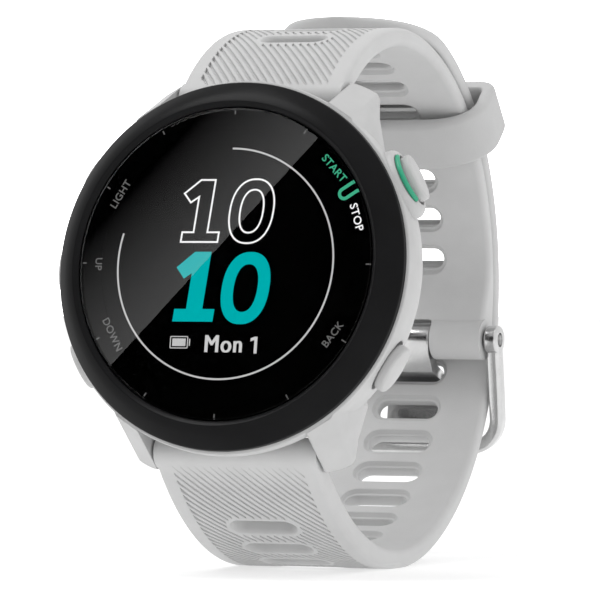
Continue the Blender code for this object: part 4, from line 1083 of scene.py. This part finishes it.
# CAD pieces that stay as they are, with their finishes
finishes = {
    "display_panel": displayBlack, "display_tray": satinBlack, "main_board": boardGreen,
    "battery": foil, "gps_antenna": ceramic, "vibration_motor": steel, "buzzer": gold,
    "sensor_board": boardGreen, "left_green_led": greenPlastic, "right_green_led": greenPlastic,
    "photodiode": smoked, "sensor_window": smoked, "rear_seal": sealRubber, "rear_cover": satinBlack,
    "contact_carrier": satinBlack,
}
for name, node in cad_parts.items():
    if name in finishes:
        finish = finishes[name]
    elif "seal" in name:
        finish = sealRubber
    elif "contact" in name:
        finish = gold
    elif "screw" in name or "bar" in name or "pin" in name or "switch" in name:
        finish = steel
    else:
        continue
    node.data.materials.clear()
    node.data.materials.append(finish)

# floor, lights and camera
studio = {
    "floorRadius": 1.6, "sides": 0.95, "ceiling": 0.92,
    "lensDark": (-0.384, -0.871, 0.305), "lensDarkCos": 0.80, "lensDarkSoft": 0.12,
    "topDark": (-0.38, 0.05, 0.93), "topDarkCos": 0.86, "topDarkness": 0.25,
    "glareFrom": (-13.7, -12.5), "glareTo": (10.9, 14.8), "glare": 0.85, "glareFade": 0.017,
    "glareSide": (-10.0, 10.0), "glareCos": 0.985, "whiteBehind": 2.0,
    "key": 5.0, "keyPlace": (-0.35, -0.25, 1.0), "keyAim": (0, 0, 0.03), "keySize": 0.6,
}
camera = {"fromDial": (266.98, -619.09, 6.40), "aim": (7.82, 3.22, -4.10), "lens": 360.0}
eye = dialCentre + Vector(camera["fromDial"]) * mm


def buildFloor():
    shape = bmesh.new()
    turns = np.linspace(0, 2 * math.pi, 96, endpoint=False)
    radii = np.linspace(0.02, studio["floorRadius"], 24)
    loftInto(shape, [[(r * math.cos(t), r * math.sin(t), 0) for t in turns] for r in radii], capped=False)
    shape.faces.new([v for v in shape.verts][:len(turns)])
    floor = makeObject("studioFloor", shape)
    if floor.data.polygons[0].normal.z < 0:
        floor.data.flip_normals()
    lit = {"Specular IOR Level": 0.0, "Emission Strength": 0.5, "Emission Color": (1, 1, 1, 1)}
    finish = makeFinish("floorPale", (0.65, 0.65, 0.65), 0.8, mottle=0.004, mottleScale=3.0, grain=0.0,
                        softEdge=0, extra=lit)
    floor.data.materials.append(finish)


def mirrored(x, y, normal):
    # where a line of sight goes after meeting the glass at (x, y)
    spot = headMatrix @ (Vector((x, y, lensShape["top"])) * mm)
    return (spot - eye).normalized().reflect(normal)


def buildWorld():
    # white tent around the watch, dark where the glass looks, with one straight-edged glare
    world = bpy.data.worlds.new("studioWorld")
    bpy.context.scene.world = world
    world.use_nodes = True
    nodes = world.node_tree.nodes
    links = world.node_tree.links
    nodes.clear()
    coords = nodes.new("ShaderNodeTexCoord")

    def towards(direction):
        dot = nodes.new("ShaderNodeVectorMath")
        dot.operation = "DOT_PRODUCT"
        links.new(coords.outputs["Generated"], dot.inputs[0])
        dot.inputs[1].default_value = direction
        return dot.outputs["Value"]

    def ranged(source, low, high, toLow, toHigh, smooth=True):
        node = nodes.new("ShaderNodeMapRange")
        node.interpolation_type = "SMOOTHSTEP" if smooth else "LINEAR"
        links.new(source, node.inputs["Value"])
        node.inputs["From Min"].default_value = low
        node.inputs["From Max"].default_value = high
        node.inputs["To Min"].default_value = toLow
        node.inputs["To Max"].default_value = toHigh
        return node.outputs["Result"]

    def combine(operation, one, two):
        node = nodes.new("ShaderNodeMath")
        node.operation = operation
        for socket, value in zip(node.inputs, (one, two)):
            if isinstance(value, (int, float)):
                socket.default_value = value
            else:
                links.new(value, socket)
        return node.outputs["Value"]

    base = ranged(towards((0, 0, 1)), 0.0, 1.0, studio["sides"], studio["ceiling"])
    darkCos = studio["lensDarkCos"]
    lensZone = ranged(towards(studio["lensDark"]), darkCos, darkCos + studio["lensDarkSoft"], 1.0, 0.0)
    topZone = ranged(towards(studio["topDark"]), studio["topDarkCos"], 1.0, 1.0, studio["topDarkness"])
    tent = combine("MULTIPLY", combine("MULTIPLY", base, lensZone), topZone)
    normal = (headMatrix.to_3x3() @ Vector((0, 0, 1))).normalized()
    start = mirrored(*studio["glareFrom"], normal)
    end = mirrored(*studio["glareTo"], normal)
    edge = start.cross(end).normalized()
    if edge.dot(mirrored(*studio["glareSide"], normal)) < 0:
        edge = -edge
    across = towards(edge)
    fade = ranged(across, 0.0, studio["glareFade"], studio["glare"], 0.0, smooth=False)
    inside = combine("GREATER_THAN", across, 0.0)
    near = combine("GREATER_THAN", towards(studio["lensDark"]), studio["glareCos"])
    glare = combine("MULTIPLY", combine("MULTIPLY", fade, inside), near)
    lit = combine("ADD", tent, glare)
    path = nodes.new("ShaderNodeLightPath")
    behind = combine("MULTIPLY", path.outputs["Is Camera Ray"], studio["whiteBehind"])
    seen = combine("ADD", lit, behind)
    background = nodes.new("ShaderNodeBackground")
    output = nodes.new("ShaderNodeOutputWorld")
    links.new(seen, background.inputs["Color"])
    links.new(background.outputs["Background"], output.inputs["Surface"])


def areaLight(name, place, aim, size, power):
    light = bpy.data.lights.new(name, "AREA")
    light.energy = power
    light.size = size
    thing = bpy.data.objects.new(name, light)
    bpy.context.scene.collection.objects.link(thing)
    thing.location = place
    thing.rotation_mode = "QUATERNION"
    thing.rotation_quaternion = (Vector(aim) - Vector(place)).to_track_quat("-Z", "Y")


def buildCamera():
    thing = bpy.data.objects.new("camera", bpy.data.cameras.new("camera"))
    bpy.context.scene.collection.objects.link(thing)
    aim = dialCentre + Vector(camera["aim"]) * mm
    thing.location = eye
    thing.rotation_mode = "QUATERNION"
    thing.rotation_quaternion = (aim - eye).to_track_quat("-Z", "Y")
    thing.data.lens = camera["lens"]
    thing.data.sensor_width = 36.0
    thing.data.clip_start = 0.01
    bpy.context.scene.camera = thing


buildFloor()
buildWorld()
areaLight("keyLight", studio["keyPlace"], studio["keyAim"], studio["keySize"], studio["key"])
buildCamera()
bpy.context.scene.view_settings.view_transform = "Standard"
print("studio ready")
